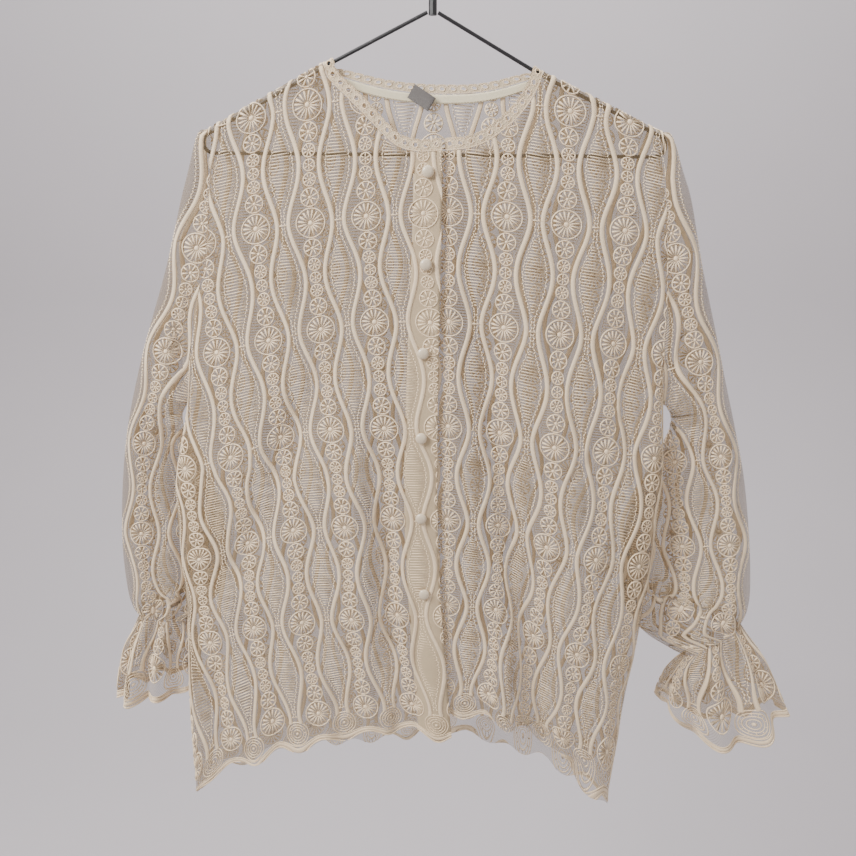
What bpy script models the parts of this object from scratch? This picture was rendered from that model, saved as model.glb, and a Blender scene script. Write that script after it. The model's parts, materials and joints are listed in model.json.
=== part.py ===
"""Sheer embroidered blouse on a black wire hanger.

The blouse is cut as two fronts, one back, two sleeves and two cuff frills, with a button band, an eyelet
neck trim, a tape inside the back neck and a small plain label. The hanger is one wire: hook, arms and bar.
The origin is where a rail carries the hook. +X is to the viewer's right, -Y is the front and +Z is up.
Tables are in millimetres. A drop is a height measured downwards from the hanger's apex.
"""

import math

import bmesh
import bpy
import numpy as np
from mathutils import Matrix, Vector

MM = 0.001

# Hanger
WIRE_RADIUS = 1.6
WIRE_GAP = 0.6
HOOK_RISE = 78.0
HOOK_RADIUS = 19.0
HOOK_END = 20.0
HOOK_SWEEP = 255.0
NECK_TWIST_RADIUS = 3.4
NECK_TWIST_HEIGHT = 14.0
# The arms' middle line, a little askew: x, drop
ARM_LINE = ((-196, 96.5), (-90, 41), (-1, -2), (90, 48.5), (197, 98.6))
TIP_RADII = (8.5, 9.0)
APEX = ARM_LINE[2]

# Cloth
WALL = 1.2
SEAM_GAP = 0.3
WRAP_RADIUS = WIRE_RADIUS + WIRE_GAP + WALL
SHOULDER_LIFT = 1.12 * WRAP_RADIUS
NECK_POINTS = (-95.0, 94.0)
UNDERARM_DROP = 336.0
BAND_WIDTH = 25.0
BAND_WALL = 1.0
BAND_LIFT = 1.8
UNDERLAP_STEP = 3.4
REPEAT_WIDTH = 50.0
LOBE_DEPTH = 9.0

# Necklines, between the neck points: x, drop
FRONT_NECK = (
    (-92, 48.5), (-86, 56.5), (-77, 65), (-68.5, 73.5), (-61, 80.5), (-54.5, 87), (-43, 98.5), (-31.5, 107.5),
    (-23, 110.5), (-14, 112), (7, 111), (17, 110.5), (28, 109.5), (38, 107), (48, 102.5), (61, 93.5),
    (73, 83), (82, 72), (88, 61.5), (91, 55),
)
BACK_NECK = (
    (-92, 46.5), (-86, 48.5), (-78, 50.5), (-69, 53), (-52, 57.5), (-26, 62), (9, 64), (46, 61.8),
    (62, 58.5), (74, 55), (86, 52), (91, 50.8),
)
# The first steps of a neckline off the shoulder's top: distance from the neck point, fall
NECK_STEPS = ((0, 0), (0.5, 0.9), (1.2, 3.6))
# Grid columns by their x at the top edge, outwards from the centre front; the band takes the first three
FRONT_RIGHT_COLUMNS = (7.5, -5, -17.5, -29, -41, -53, -64, -74, -82, -88, -92, -93.8, -94.5, -95)
FRONT_LEFT_COLUMNS = (-17.5, -5, 7.5, 20, 33, 46, 59, 71, 81, 87.5, 90.5, 92, 92.8, 93.5, 94)
BACK_COLUMNS_X = (-95, -94.5, -93.8, -92, -88, -82, -74, -64, -52, -38, -24, -9, 6, 20, 33, 46, 59, 71)
BACK_COLUMNS_X += (81, 87.5, 91, 92.8, 93.5, 94)
SHOULDER_COLUMNS = (104, 116, 129, 142, 155, 168, 179, 188, 194.5, 198)
RIGHT_SHOULDER_END = 196

# Outline of the body: drop, left edge, right edge, front depth, back depth
BODY_ROWS = (
    (91, -196, 198, 7, 6),
    (110, -194.5, 200.5, 9, 8),
    (150, -197, 204, 13, 11),
    (196, -202, 208, 17, 13),
    (240, -213, 211, 20, 15),
    (287, -223, 212, 23, 17),
    (336, -231, 216, 26, 19),
    (420, -249, 221, 29, 21),
    (490, -250, 217, 30, 22),
    (560, -249, 212, 31, 23),
    (650, -254, 201, 32, 23),
    (765, -256, 190, 33, 24),
)
# Half the opening that the armhole leaves: drop, half depth
ARMHOLE_ROWS = ((91, 0), (110, 4.5), (150, 8.5), (220, 11), (290, 10), (325, 4), (336, 0), (765, 0))

# Centre front line: drop, x
CENTRE_ROWS = ((90, -5), (530, -5), (600, 0), (700, 8))
# Embroidered columns that a panel's cloth is laid by: place in the cloth, then drop and x down the column
RIGHT_COLUMNS = (
    (-158, ((171, -157), (277, -149), (375, -142), (462, -133), (559, -128), (660, -115), (700, -111))),
    (-58, ((171, -59), (300, -50), (443, -39), (553, -35), (660, -20), (700, -17))),
)
LEFT_COLUMNS = (
    (40, ((171, 38), (400, 38), (600, 36), (680, 29))),
    (165, ((171, 169), (277, 164), (375, 162), (480, 157), (570, 145), (680, 134))),
)
BACK_COLUMNS = (
    (-150, ((171, -150), (700, -128))),
    (150, ((171, 150), (700, 120))),
)
# Hem: share of the way across the panel, drop of the lobes' lowest points
RIGHT_HEM = ((0, 688), (0.21, 683), (0.39, 689), (0.58, 702), (0.77, 722), (0.88, 737), (0.96, 762), (1, 781))
LEFT_HEM = ((0, 664), (0.22, 663), (0.47, 680), (0.58, 697), (0.74, 728), (0.84, 758), (1, 790))
BACK_HEM = (
    (0, 781), (0.06, 764), (0.15, 748), (0.3, 735), (0.5, 728), (0.64, 722), (0.75, 738), (0.87, 762), (1, 790),
)

# Folds: x and drop at the top, x and drop at the bottom, sideways bow, half width, height (troughs below 0)
FRONT_FOLDS = (
    (-94, 270, -205, 540, 0, 17, -8),
    (-80, 290, -70, 600, 0, 18, 6),
    (-57, 310, -30, 760, 0, 13, -10),
    (-150, 420, -125, 760, 0, 20, 6),
    (-214, 560, -232, 800, 0, 9, -7),
    (-190, 600, -180, 800, 0, 14, 5),
    (24, 150, 130, 790, 0, 17, -11),
    (53, 140, 172, 800, 28, 24, 9),
    (166, 190, 196, 430, 0, 15, -8),
    (140, 560, 150, 800, 0, 8, -6),
    (62, 520, 88, 790, 0, 14, 6),
)
BACK_FOLDS = (
    (-120, 200, -160, 800, 0, 20, 7),
    (-60, 260, -85, 800, 0, 18, -7),
    (-10, 160, -5, 800, 0, 22, 6),
    (50, 240, 66, 800, 0, 17, -7),
    (110, 180, 124, 800, 0, 18, 7),
    (160, 330, 158, 800, 0, 12, -6),
    (-190, 420, -212, 800, 0, 14, -6),
)

# Sleeves and frills, from the armhole to the edge. The outer point lies on the top fold, the inner one on
# the underarm seam: outer x, drop, y, inner x, drop, y, half depth, sag of the middle, gather height
RIGHT_SLEEVE = (
    (-196.4, 92.6, 0, -231.6, 337, 0, 11, 0, 0),
    (-205, 96.6, 0.3, -234.5, 341, 1.5, 11, 0, 0.5),
    (-215, 126, 1, -237.5, 346, 3, 13, 0, 0.8),
    (-224, 152.5, 2, -240.5, 351, 5, 15, 0, 0.6),
    (-240, 205, 3, -242.5, 357, 8, 17, 0, 0.5),
    (-260, 260, 4, -244, 365, 12, 18, 0, 0.5),
    (-273.5, 298, 5, -243.5, 378, 18, 19, 0, 0.8),
    (-291, 357, 6, -237, 400, 27, 19, 0, 1.0),
    (-303, 418, 7, -223, 440, 37, 18, 0, 1.4),
    (-310, 482, 8, -215, 492, 42, 18, 4, 2.0),
    (-310, 534, 9, -220, 543, 42, 16, 6, 2.6),
    (-307, 555, 11, -238, 567, 36, 14, 4, 2.2),
    (-302, 566, 12, -256, 579, 28, 12, 0, 1.6),
)
RIGHT_FRILL = (
    (-302, 566.6, 12, -256, 579.6, 28, 12, 0, 1.6),
    (-309, 582, 10, -254, 596, 29, 14, 0, 4),
    (-319, 604, 7, -254, 620, 31, 20, 0, 6),
    (-325, 634, 4, -254, 644, 33, 25, 0, 8),
    (-326, 656, 2, -255, 660, 34, 27, 2, 9.5),
)
LEFT_SLEEVE = (
    (198.4, 95.4, 0, 216.6, 337, 0, 11, 0, 0),
    (207, 98.6, 0.3, 220, 341, 1.5, 11, 0, 0.5),
    (219, 128, 1, 223.5, 345, 3, 13, 0, 0.8),
    (228.5, 152.5, 2, 226.5, 350, 5, 15, 0, 0.6),
    (242, 205, 3, 229, 356, 8, 17, 0, 0.5),
    (261, 269, 4, 231, 365, 12, 18, 0, 0.5),
    (275, 317, 5, 230.5, 379, 19, 19, 0, 0.8),
    (290, 367, 6, 224, 402, 28, 19, 0, 1.0),
    (304, 418, 7, 209, 442, 37, 18, 0, 1.4),
    (316, 483, 8, 198, 500, 42, 18, 6, 2.0),
    (322, 535, 8, 202, 560, 41, 18, 10, 2.6),
    (322, 559, 9, 222, 594, 33, 16, 8, 2.2),
    (320, 569, 11, 247, 609, 25, 14, 4, 2.0),
    (317.5, 577, 12, 268, 619, 20, 12, 0, 1.6),
)
LEFT_FRILL = (
    (317.8, 577.6, 12, 268.3, 619.6, 20, 12, 0, 1.6),
    (327, 590, 10, 260, 629, 22, 15, 6, 4.5),
    (341, 611, 7, 252, 645, 24, 21, 18, 7),
    (359, 648, 4, 248, 664, 26, 27, 32, 9),
    (371, 676, 2, 247, 678, 27, 30, 38, 11),
)
# Creases on a sleeve: turns round it and share of its length at each end, half width in turns, height
SLEEVE_CREASES = (
    (0.40, 0.10, 0.22, 0.34, 0.04, -3.5),
    (0.41, 0.24, 0.24, 0.52, 0.04, 3.5),
    (0.42, 0.36, 0.30, 0.70, 0.04, -4.0),
    (0.14, 0.42, 0.20, 0.95, 0.045, 3.0),
    (0.72, 0.20, 0.78, 0.60, 0.045, -4.0),
    (0.90, 0.35, 0.84, 0.90, 0.045, 4.0),
)
SLEEVE_GATHERS = 9
# Below 1 the sleeve's section is blunter at its two ends
SECTION_FULLNESS = 0.78
FRILL_WAVES = 8
FRILL_LOBES = 6

# Neck
FRONT_TRIM_WIDTH = 10.5
BACK_TRIM_WIDTH = 7.5
TRIM_WALL = 1.2
TAPE_WIDTH = 7.5
TAPE_WALL = 0.8
LABEL_SIZE = (20.0, 12.5)
LABEL_WALL = 0.6
LABEL_PLACE = (-11.0, 67.0)
LABEL_TURN = 32.0

# Buttons
BUTTON_COUNT = 6
FIRST_BUTTON_DROP = 128.0
BUTTON_PITCH = 78.6
BUTTON_RADIUS = 5.3
BUTTON_HEIGHT = 4.6

# Grid sizes
BODY_GRID_ROWS = 15
TOP_ROW_DEPTHS = (0.9, 3.6, 11, 26, 50)
SLEEVE_GRID = (36, 15)
FRILL_GRID = (48, 4)
WIRE_SIDES_RESOLUTION = 2

# Colours: red, green, blue, roughness, metallic
COLOURS = {
    "lace": (0.80, 0.74, 0.64, 0.85, 0.0),
    "band": (0.84, 0.78, 0.68, 0.8, 0.0),
    "trim": (0.88, 0.83, 0.74, 0.85, 0.0),
    "tape": (0.86, 0.78, 0.64, 0.7, 0.0),
    "label": (0.42, 0.41, 0.42, 0.6, 0.0),
    "button": (0.86, 0.81, 0.73, 0.3, 0.0),
    "wire": (0.02, 0.02, 0.022, 0.4, 0.0),
}


def spline(rows, at, column=1):
    """A smooth curve through a table's rows: the first column is the key, and the ends are held."""
    table = np.array([(row[0], row[column]) for row in rows], float)
    keys, values = table[:, 0], table[:, 1]
    slopes = np.gradient(values, keys)
    at = np.clip(at, keys[0], keys[-1])
    i = np.clip(np.searchsorted(keys, at) - 1, 0, len(keys) - 2)
    width = keys[i + 1] - keys[i]
    s = (at - keys[i]) / width
    first = (2 * s**3 - 3 * s**2 + 1) * values[i] + (s**3 - 2 * s**2 + s) * width * slopes[i]
    second = (3 * s**2 - 2 * s**3) * values[i + 1] + (s**3 - s**2) * width * slopes[i + 1]
    return first + second


def ease(value):
    """0 below 0, 1 above 1, and a smooth step between."""
    value = np.clip(value, 0, 1)
    return value * value * (3 - 2 * value)


def shoulder_drop(x):
    """The shoulder seam lies along the top of the arms."""
    return np.interp(x, *zip(*ARM_LINE)) - SHOULDER_LIFT


def neckline_drop(x, rows):
    """Drop of a panel's top edge: the neckline between the neck points, the shoulder seam outside them."""
    inside = min(x - NECK_POINTS[0], NECK_POINTS[1] - x)
    if inside <= 0:
        return shoulder_drop(x)
    last_step, last_fall = NECK_STEPS[-1]
    if inside <= last_step:
        return shoulder_drop(x) + np.interp(inside, *zip(*NECK_STEPS))
    left, right = NECK_POINTS[0] + last_step, NECK_POINTS[1] - last_step
    ends = ((left, shoulder_drop(left) + last_fall), (right, shoulder_drop(right) + last_fall))
    return float(spline((ends[0], *rows, ends[1]), x))


def fold_height(folds, x, drop):
    """The sum of the table's soft ridges and troughs at a point."""
    total = np.zeros(np.broadcast(x, drop).shape)
    for x0, drop0, x1, drop1, bow, half_width, height in folds:
        share = np.clip((drop - drop0) / (drop1 - drop0), 0, 1)
        line = x0 + (x1 - x0) * share + bow * np.sin(math.pi * share)
        fade = ease(share / 0.35) * ease((1 - share) / 0.2)
        total = total + height * fade * np.exp(-(((x - line) / half_width) ** 2))
    return total


def hem_ripple(x, drop, phase):
    """Small uneven waves that grow towards the hem."""
    growth = ease((drop - 420) / 320)
    return growth * (2.2 * np.sin(x / 9.5 + phase) + 1.4 * np.sin(x / 5.6 + 2.1 * phase))


def edge_x(x_right_side, drop):
    """The body's outline on the viewer's right (True) or left."""
    return spline(BODY_ROWS, drop, 2 if x_right_side else 1)


def section_depth(x, drop, depth_column, folds, phase):
    """How far a body panel's outer surface stands from the hanger's plane."""
    left, right = edge_x(False, drop), edge_x(True, drop)
    side = np.where(x < 0, x / left, x / right)
    side = np.clip(side, 0, 1)
    flat = 1 - side**4
    rounded = (1 - side**3) ** (1 / 3)
    crown = flat + (rounded - flat) * ease((drop - 265) / 75)
    below_seam = drop - shoulder_drop(x)
    arc = np.sqrt(np.clip(WRAP_RADIUS**2 - np.clip(WRAP_RADIUS - below_seam, 0, None) ** 2, 0, None))
    open_edge = np.interp(drop, *zip(*ARMHOLE_ROWS))
    full = open_edge + (spline(BODY_ROWS, drop, depth_column) - open_edge) * crown
    waves = (fold_height(folds, x, drop) + hem_ripple(x, drop, phase)) * ease(below_seam / 120) * crown
    hung = ease(below_seam / 80) * (full - WRAP_RADIUS) + np.maximum(waves, -0.6 * full)
    return SEAM_GAP / 2 + arc + hung


class Panel:
    """One body panel: where its edges run, where its grid's columns start, and how its cloth is laid."""

    def __init__(self, inner, outer_is_right, tops, neck, hem, columns, folds, phase, sign=-1, step=0.0):
        self.inner, self.outer_is_right, self.neck = inner, outer_is_right, neck
        self.hem, self.columns, self.folds, self.phase = hem, columns, folds, phase
        self.sign, self.step = sign, step
        self.tops = [(x, neckline_drop(x, neck)) for x in tops]
        self.top_across = [self.across_at(x, drop) for x, drop in self.tops]
        fixed, free = 3 if inner else 1, len(tops) - 2
        start = self.top_across[fixed - 1]
        if inner:
            pace = (0.985 - start) / (free - fixed + 1)
            even = [start + pace * (i - fixed + 1) for i in range(fixed, free + 1)]
        else:
            even = [0.015 + 0.97 * (i - 1) / (free - 1) for i in range(1, free + 1)]
        self.even_across = [*self.top_across[:fixed], *even, 1.0]

    def ends_at(self, drop):
        start = spline(CENTRE_ROWS, drop) + self.inner if self.inner else edge_x(False, drop)
        return start, edge_x(self.outer_is_right, drop)

    def x_at(self, across, drop):
        start, end = self.ends_at(drop)
        return start + (end - start) * across

    def across_at(self, x, drop):
        start, end = self.ends_at(drop)
        return float((x - start) / (end - start))

    def point(self, across, drop, out=0.0):
        """A point of the outer surface, moved out by a distance along Y."""
        x = self.x_at(across, drop)
        depth = section_depth(x, drop, 3 if self.sign < 0 else 4, self.folds, self.phase)
        if self.step:
            depth = depth - self.step * ease((spline(CENTRE_ROWS, drop) + BAND_WIDTH / 2 + 14 - x) / 12)
        return x, self.sign * (depth + out), drop

    def vertex(self, column, row, out=0.0):
        """A vertex of the grid; both numbers may lie between whole ones, on the chord between vertices."""
        if column % 1:
            low = math.floor(column)
            return self.blend(self.vertex(low, row, out), self.vertex(low + 1, row, out), column % 1)
        if row % 1:
            low = math.floor(row)
            return self.blend(self.vertex(column, low, out), self.vertex(column, low + 1, out), row % 1)
        column, row = int(column), int(row)
        share = row / GRID_ROWS
        spread = ease(share * 1.6)
        across = self.top_across[column] + (self.even_across[column] - self.top_across[column]) * spread
        top, hem = self.tops[column][1], float(spline(self.hem, across))
        if row == 0:
            drop = top
        elif row <= len(TOP_ROW_DEPTHS):
            drop = top + TOP_ROW_DEPTHS[row - 1]
        else:
            start = top + TOP_ROW_DEPTHS[-1]
            drop = start + (hem - start) * (row - len(TOP_ROW_DEPTHS)) / BODY_GRID_ROWS
        return tuple(float(v) for v in self.point(across, drop, out))

    def hem_vertex(self, column, out=0.0):
        """A vertex of the scalloped edge; the column may lie between whole ones."""
        low = min(math.floor(column), len(self.tops) - 2)
        across = np.interp(column - low, (0, 1), self.even_across[low:low + 2])
        drop = float(spline(self.hem, across)) - float(hem_notch(self.cloth_u(across), self.rosette_u))
        return tuple(float(v) for v in self.point(across, drop, out))

    @staticmethod
    def blend(first, second, share):
        return tuple(a + (b - a) * share for a, b in zip(first, second))

    def cloth_u(self, across):
        """Place in the cloth along the hem, read from the laid columns and the section's length."""
        if not hasattr(self, "laid"):
            dense = np.linspace(0, 1, 401)
            drop = spline(self.hem, dense)
            x, y, _ = self.point(dense, drop)
            length = np.concatenate(([0], np.cumsum(np.hypot(np.diff(x), np.diff(y)))))
            order = np.argsort(x)
            known = sorted(
                (float(np.interp(spline(rows, 700), x[order], length[order])), u) for u, rows in self.columns
            )
            lengths, places = (np.array(part, float) for part in zip(*known))
            direction = 1 if x[-1] > x[0] else -1
            u = np.interp(length, lengths, places)
            u = np.where(length < lengths[0], places[0] - direction * (lengths[0] - length), u)
            u = np.where(length > lengths[-1], places[-1] + direction * (length - lengths[-1]), u)
            self.laid = dense, u
        return np.interp(across, *self.laid)


GRID_ROWS = len(TOP_ROW_DEPTHS) + BODY_GRID_ROWS
RIGHT_SHOULDER = tuple(-x * RIGHT_SHOULDER_END / SHOULDER_COLUMNS[-1] for x in SHOULDER_COLUMNS)
FRONT_RIGHT = Panel(
    BAND_WIDTH / 2, False, (*FRONT_RIGHT_COLUMNS, *RIGHT_SHOULDER), FRONT_NECK,
    RIGHT_HEM, RIGHT_COLUMNS, FRONT_FOLDS, 0.6,
)
FRONT_LEFT = Panel(
    -BAND_WIDTH / 2, True, (*FRONT_LEFT_COLUMNS, *SHOULDER_COLUMNS), FRONT_NECK,
    LEFT_HEM, LEFT_COLUMNS, FRONT_FOLDS, 0.6, step=UNDERLAP_STEP,
)
BACK = Panel(
    0, True, (*reversed(RIGHT_SHOULDER), *BACK_COLUMNS_X, *SHOULDER_COLUMNS), BACK_NECK,
    BACK_HEM, BACK_COLUMNS, BACK_FOLDS, 2.0, sign=1,
)
FRONT_RIGHT.rosette_u, FRONT_LEFT.rosette_u, BACK.rosette_u = -33.0, 40.0, 25.0


def hem_notch(u, rosette_u):
    """How far the scalloped edge stands above the lobes' lowest points."""
    return LOBE_DEPTH * 0.5 * (1 - np.cos(2 * math.pi * (u - rosette_u) / REPEAT_WIDTH))


def world(x, y, drop):
    return Vector((x, y, -HOOK_RISE - drop)) * MM


def material(name):
    red, green, blue, roughness, metallic = COLOURS[name]
    made = bpy.data.materials.new(name)
    made.use_nodes = True
    shader = made.node_tree.nodes["Principled BSDF"]
    shader.inputs["Base Color"].default_value = (red, green, blue, 1)
    shader.inputs["Roughness"].default_value = roughness
    shader.inputs["Metallic"].default_value = metallic
    return made


def add_object(name, bm, colour):
    """Makes an object of a finished mesh."""
    mesh = bpy.data.meshes.new(name)
    bm.to_mesh(mesh)
    bm.free()
    mesh.materials.append(colour)
    mesh.shade_smooth()
    made = bpy.data.objects.new(name, mesh)
    bpy.context.scene.collection.objects.link(made)
    return made


def thicken(bm, wall, seam_across=None):
    """Gives an open sheet its wall, inwards; a rim doesn't lean along the direction across its seam."""
    bm.normal_update()
    inward = {}
    for vert in bm.verts:
        normal = vert.normal.copy()
        across = seam_across(vert.co) if seam_across and vert.is_boundary else None
        if across:
            normal = (normal - across * normal.dot(across)).normalized()
        inward[tuple(vert.co)] = normal * wall * MM
    made = bmesh.ops.extrude_face_region(bm, geom=bm.faces[:], use_keep_orig=True)
    for vert in (v for v in made["geom"] if isinstance(v, bmesh.types.BMVert)):
        vert.co -= inward[tuple(vert.co)]
    bmesh.ops.recalc_face_normals(bm, faces=bm.faces)


def unit_grid(columns, rows, edge_cuts=0):
    """A sheet whose points count columns and rows, with its last row's edge cut finer."""
    bm = bmesh.new()
    bmesh.ops.create_grid(bm, x_segments=columns, y_segments=rows, size=0.5)
    bmesh.ops.translate(bm, verts=bm.verts, vec=(0.5, 0.5, 0))
    bmesh.ops.scale(bm, verts=bm.verts, vec=(columns, rows, 1))
    for vert in bm.verts:
        vert.co = (round(vert.co.x), round(vert.co.y), 0)
    if edge_cuts:
        hem = [e for e in bm.edges if all(v.co.y == rows for v in e.verts)]
        bmesh.ops.subdivide_edges(bm, edges=hem, cuts=edge_cuts)
    return bm


def shape_sheet(bm, place, outward):
    """Moves a unit sheet's points to their places and turns its faces outwards."""
    for vert in bm.verts:
        vert.co = place(vert.co.x, vert.co.y)
    bm.normal_update()
    if sum(outward(face.calc_center_median()).dot(face.normal) for face in bm.faces) < 0:
        bmesh.ops.reverse_faces(bm, faces=bm.faces)


def body_panel(name, panel, colour):
    def place(column, row):
        made = panel.hem_vertex(column) if row == GRID_ROWS else panel.vertex(column, row)
        return world(*made)

    bm = unit_grid(len(panel.tops) - 1, GRID_ROWS, edge_cuts=1)
    shape_sheet(bm, place, lambda centre: Vector((0, panel.sign, 0)))
    thicken(bm, WALL, lambda co: Vector((0, 1, 0)) if abs(co.y) < 0.6 * MM else None)
    return add_object(name, bm, colour)


def button_band(colour):
    """A doubled strip on the right front's edge, made from the panel's own points."""
    out = BAND_LIFT

    def place(column, row):
        if row == GRID_ROWS:
            return world(*FRONT_RIGHT.hem_vertex(column, out))
        return world(*FRONT_RIGHT.vertex(column, row, out))

    bm = unit_grid(2, GRID_ROWS, edge_cuts=1)
    shape_sheet(bm, place, lambda centre: Vector((0, -1, 0)))
    thicken(bm, BAND_WALL)
    return add_object("button_band", bm, colour)


def tube_point(rows, turn, share, waves, creases=()):
    """A point of a sleeve or frill: turn runs round it from the top fold by the front, share along it."""
    keyed = [(i / (len(rows) - 1), *row) for i, row in enumerate(rows)]
    ox, oh, oy, ix, ih, iy, half_depth, sag, gather = (spline(keyed, share, c) for c in range(1, 10))
    angle = 2 * math.pi * turn
    along = (1 - np.cos(angle)) / 2
    outer, inner = np.array((ox, oy, oh)), np.array((ix, iy, ih))
    chord = inner - outer
    length = np.linalg.norm(chord, axis=0)
    x = ox + (ix - ox) * along
    bulge = np.copysign(np.abs(np.sin(angle)) ** SECTION_FULLNESS, np.sin(angle))
    y = oy + (iy - oy) * along - half_depth * bulge
    drop = oh + (ih - oh) * along + sag * np.sin(math.pi * along)
    lean = -np.cos(angle) / (length / 2)
    face = -np.sin(angle) / half_depth
    size = np.hypot(lean, face)
    lean, face = lean / size, face / size
    swell = gather * np.sin(2 * math.pi * waves * turn + 0.7 * np.sin(2 * math.pi * turn))
    for turn0, share0, turn1, share1, half_width, height in creases:
        run = np.clip((share - share0) / (share1 - share0), 0, 1)
        line = turn0 + (turn1 - turn0) * run
        fade = ease(run / 0.3) * ease((1 - run) / 0.3)
        swell = swell + height * fade * np.exp(-(((turn - line) / half_width) ** 2))
    swell = swell * (0.25 + 0.75 * np.abs(np.sin(angle)))
    x = x + swell * lean * chord[0] / length
    y = y + swell * (face + lean * chord[1] / length)
    drop = drop + swell * lean * chord[2] / length
    return x, y, drop


def armhole_line(panel, column):
    """The drop, x and half depth of a body panel's armhole edge, down to the underarm and a little on."""
    points = [panel.vertex(column, row) for row in range(GRID_ROWS)]
    return np.array([(drop, x, abs(y)) for x, y, drop in points]).T


def armhole_point(turn, is_right_side):
    """The seam where a sleeve joins the body, round the open edges of the front and back."""
    front = armhole_line(FRONT_LEFT if is_right_side else FRONT_RIGHT, -1)
    back = armhole_line(BACK, -1 if is_right_side else 0)
    angle = 2 * math.pi * turn
    drops, edges, depths = front if math.sin(angle) > 0 else back
    top = drops[0]
    drop = top + (UNDERARM_DROP + 0.6 - top) * (1 - math.cos(angle)) / 2
    outward = 1 if is_right_side else -1
    depth = max(np.interp(drop, drops, depths), 3.2 if drop > 200 else 0)
    side = 0 if abs(math.sin(angle)) < 1e-6 else -math.copysign(1, math.sin(angle))
    return np.interp(drop, drops, edges) + outward * (SEAM_GAP + 0.1), side * depth, drop


def sleeve(name, rows, is_right_side, colour):
    columns, steps = SLEEVE_GRID
    join_share = 0.12

    def place(column, row):
        turn, share = column / columns, row / steps
        x, y, drop = tube_point(rows, turn, share, SLEEVE_GATHERS, SLEEVE_CREASES)
        if share < join_share:
            seam = armhole_point(turn, is_right_side)
            start = tube_point(rows, turn, 0.0, SLEEVE_GATHERS, SLEEVE_CREASES)
            keep = (1 - share / join_share) ** 2
            x, y, drop = (p + (a - b) * keep for p, a, b in zip((x, y, drop), seam, start))
        return world(float(x), float(y), float(drop))

    def seam_across(co):
        return Vector((1, 0, 0)) if abs(co.x) < 225 * MM else wrist_axis(rows[-1])

    bm = unit_grid(columns, steps)
    close_tube(bm, place, columns, rows)
    thicken(bm, WALL, seam_across)
    return add_object(name, bm, colour)


def wrist_axis(row):
    """The direction along a sleeve at a row, square to the row's chord."""
    x0, drop0, y0, x1, drop1, y1 = row[:6]
    chord = Vector((x1 - x0, y1 - y0, drop0 - drop1))
    return chord.cross(Vector((0, 1, 0))).normalized()


def frill(name, rows, colour):
    columns, steps = FRILL_GRID

    def place(column, row):
        turn = column / columns
        x, y, drop = tube_point(rows, turn, row / steps, FRILL_WAVES)
        lift = 3.0 * (1 - math.cos(2 * math.pi * FRILL_LOBES * turn)) if row == steps else 0.0
        return world(float(x), float(y), float(drop) - lift)

    bm = unit_grid(columns, steps)
    close_tube(bm, place, columns, rows)
    top = world(rows[1][0], 0, max(rows[1][1], rows[0][4] + 1)).z
    thicken(bm, WALL, lambda co: wrist_axis(rows[0]) if co.z > top else None)
    return add_object(name, bm, colour)


def close_tube(bm, place, columns, rows):
    """Rolls a sheet into a tube, joins its long edges and turns its faces outwards."""
    middle = rows[len(rows) // 2]
    core = world((middle[0] + middle[3]) / 2, (middle[2] + middle[5]) / 2, (middle[1] + middle[4]) / 2)
    for vert in bm.verts:
        vert.co = place(vert.co.x % columns, vert.co.y)
    bmesh.ops.remove_doubles(bm, verts=bm.verts, dist=1e-6)
    bm.normal_update()
    near = min(bm.faces, key=lambda face: (face.calc_center_median() - core).length)
    if (near.calc_center_median() - core).dot(near.normal) < 0:
        bmesh.ops.reverse_faces(bm, faces=bm.faces)


def neck_seam():
    """The neck seam's points from the centre front by the right neck point and the back to the left front."""
    right = [FRONT_RIGHT.vertex(i, 0) for i in range(len(FRONT_RIGHT_COLUMNS))]
    first = len(SHOULDER_COLUMNS) + 1
    back = [BACK.vertex(i, 0) for i in range(first, first + len(BACK_COLUMNS_X) - 2)]
    left = [FRONT_LEFT.vertex(i, 0) for i in (2.15, *range(3, len(FRONT_LEFT_COLUMNS)))]
    points = right + back + left[::-1]
    return [(x, 0.0 if abs(y) < 0.2 else y, drop) for x, y, drop in points]


def neck_trim(colour):
    """The eyelet lace that stands up round the neck, open at the centre front."""
    seam = neck_seam()

    def place(column, row):
        x, y, drop = seam[int(column)]
        width = np.interp(y, (-6, 6), (FRONT_TRIM_WIDTH, BACK_TRIM_WIDTH))
        distance = SEAM_GAP + 0.1 + width * row / 2
        rise = drop + SHOULDER_LIFT - APEX[1]
        share = distance / math.hypot(x - APEX[0], rise)
        return world(x - (x - APEX[0]) * share, y, drop - rise * share)

    bm = unit_grid(len(seam) - 1, 2)
    shape_sheet(bm, place, lambda centre: Vector((0, centre.y, 0.001)))
    thicken(bm, TRIM_WALL)
    return add_object("neck_trim", bm, colour)


def neck_tape(colour):
    """The tape that covers the seam inside the back neck."""
    columns = [i for i, (x, _) in enumerate(BACK.tops) if -76 < x < 82]

    def place(column, row):
        x, _, top = BACK.vertex(columns[int(column)], 0)
        drop = top + 0.6 + TAPE_WIDTH * row
        depth = float(section_depth(x, drop, 4, BACK_FOLDS, BACK.phase))
        return world(x, depth - WALL - SEAM_GAP - 0.3, drop)

    bm = unit_grid(len(columns) - 1, 1)
    shape_sheet(bm, place, lambda centre: Vector((0, 1, 0)))
    thicken(bm, TAPE_WALL)
    return add_object("neck_tape", bm, colour)


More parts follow.
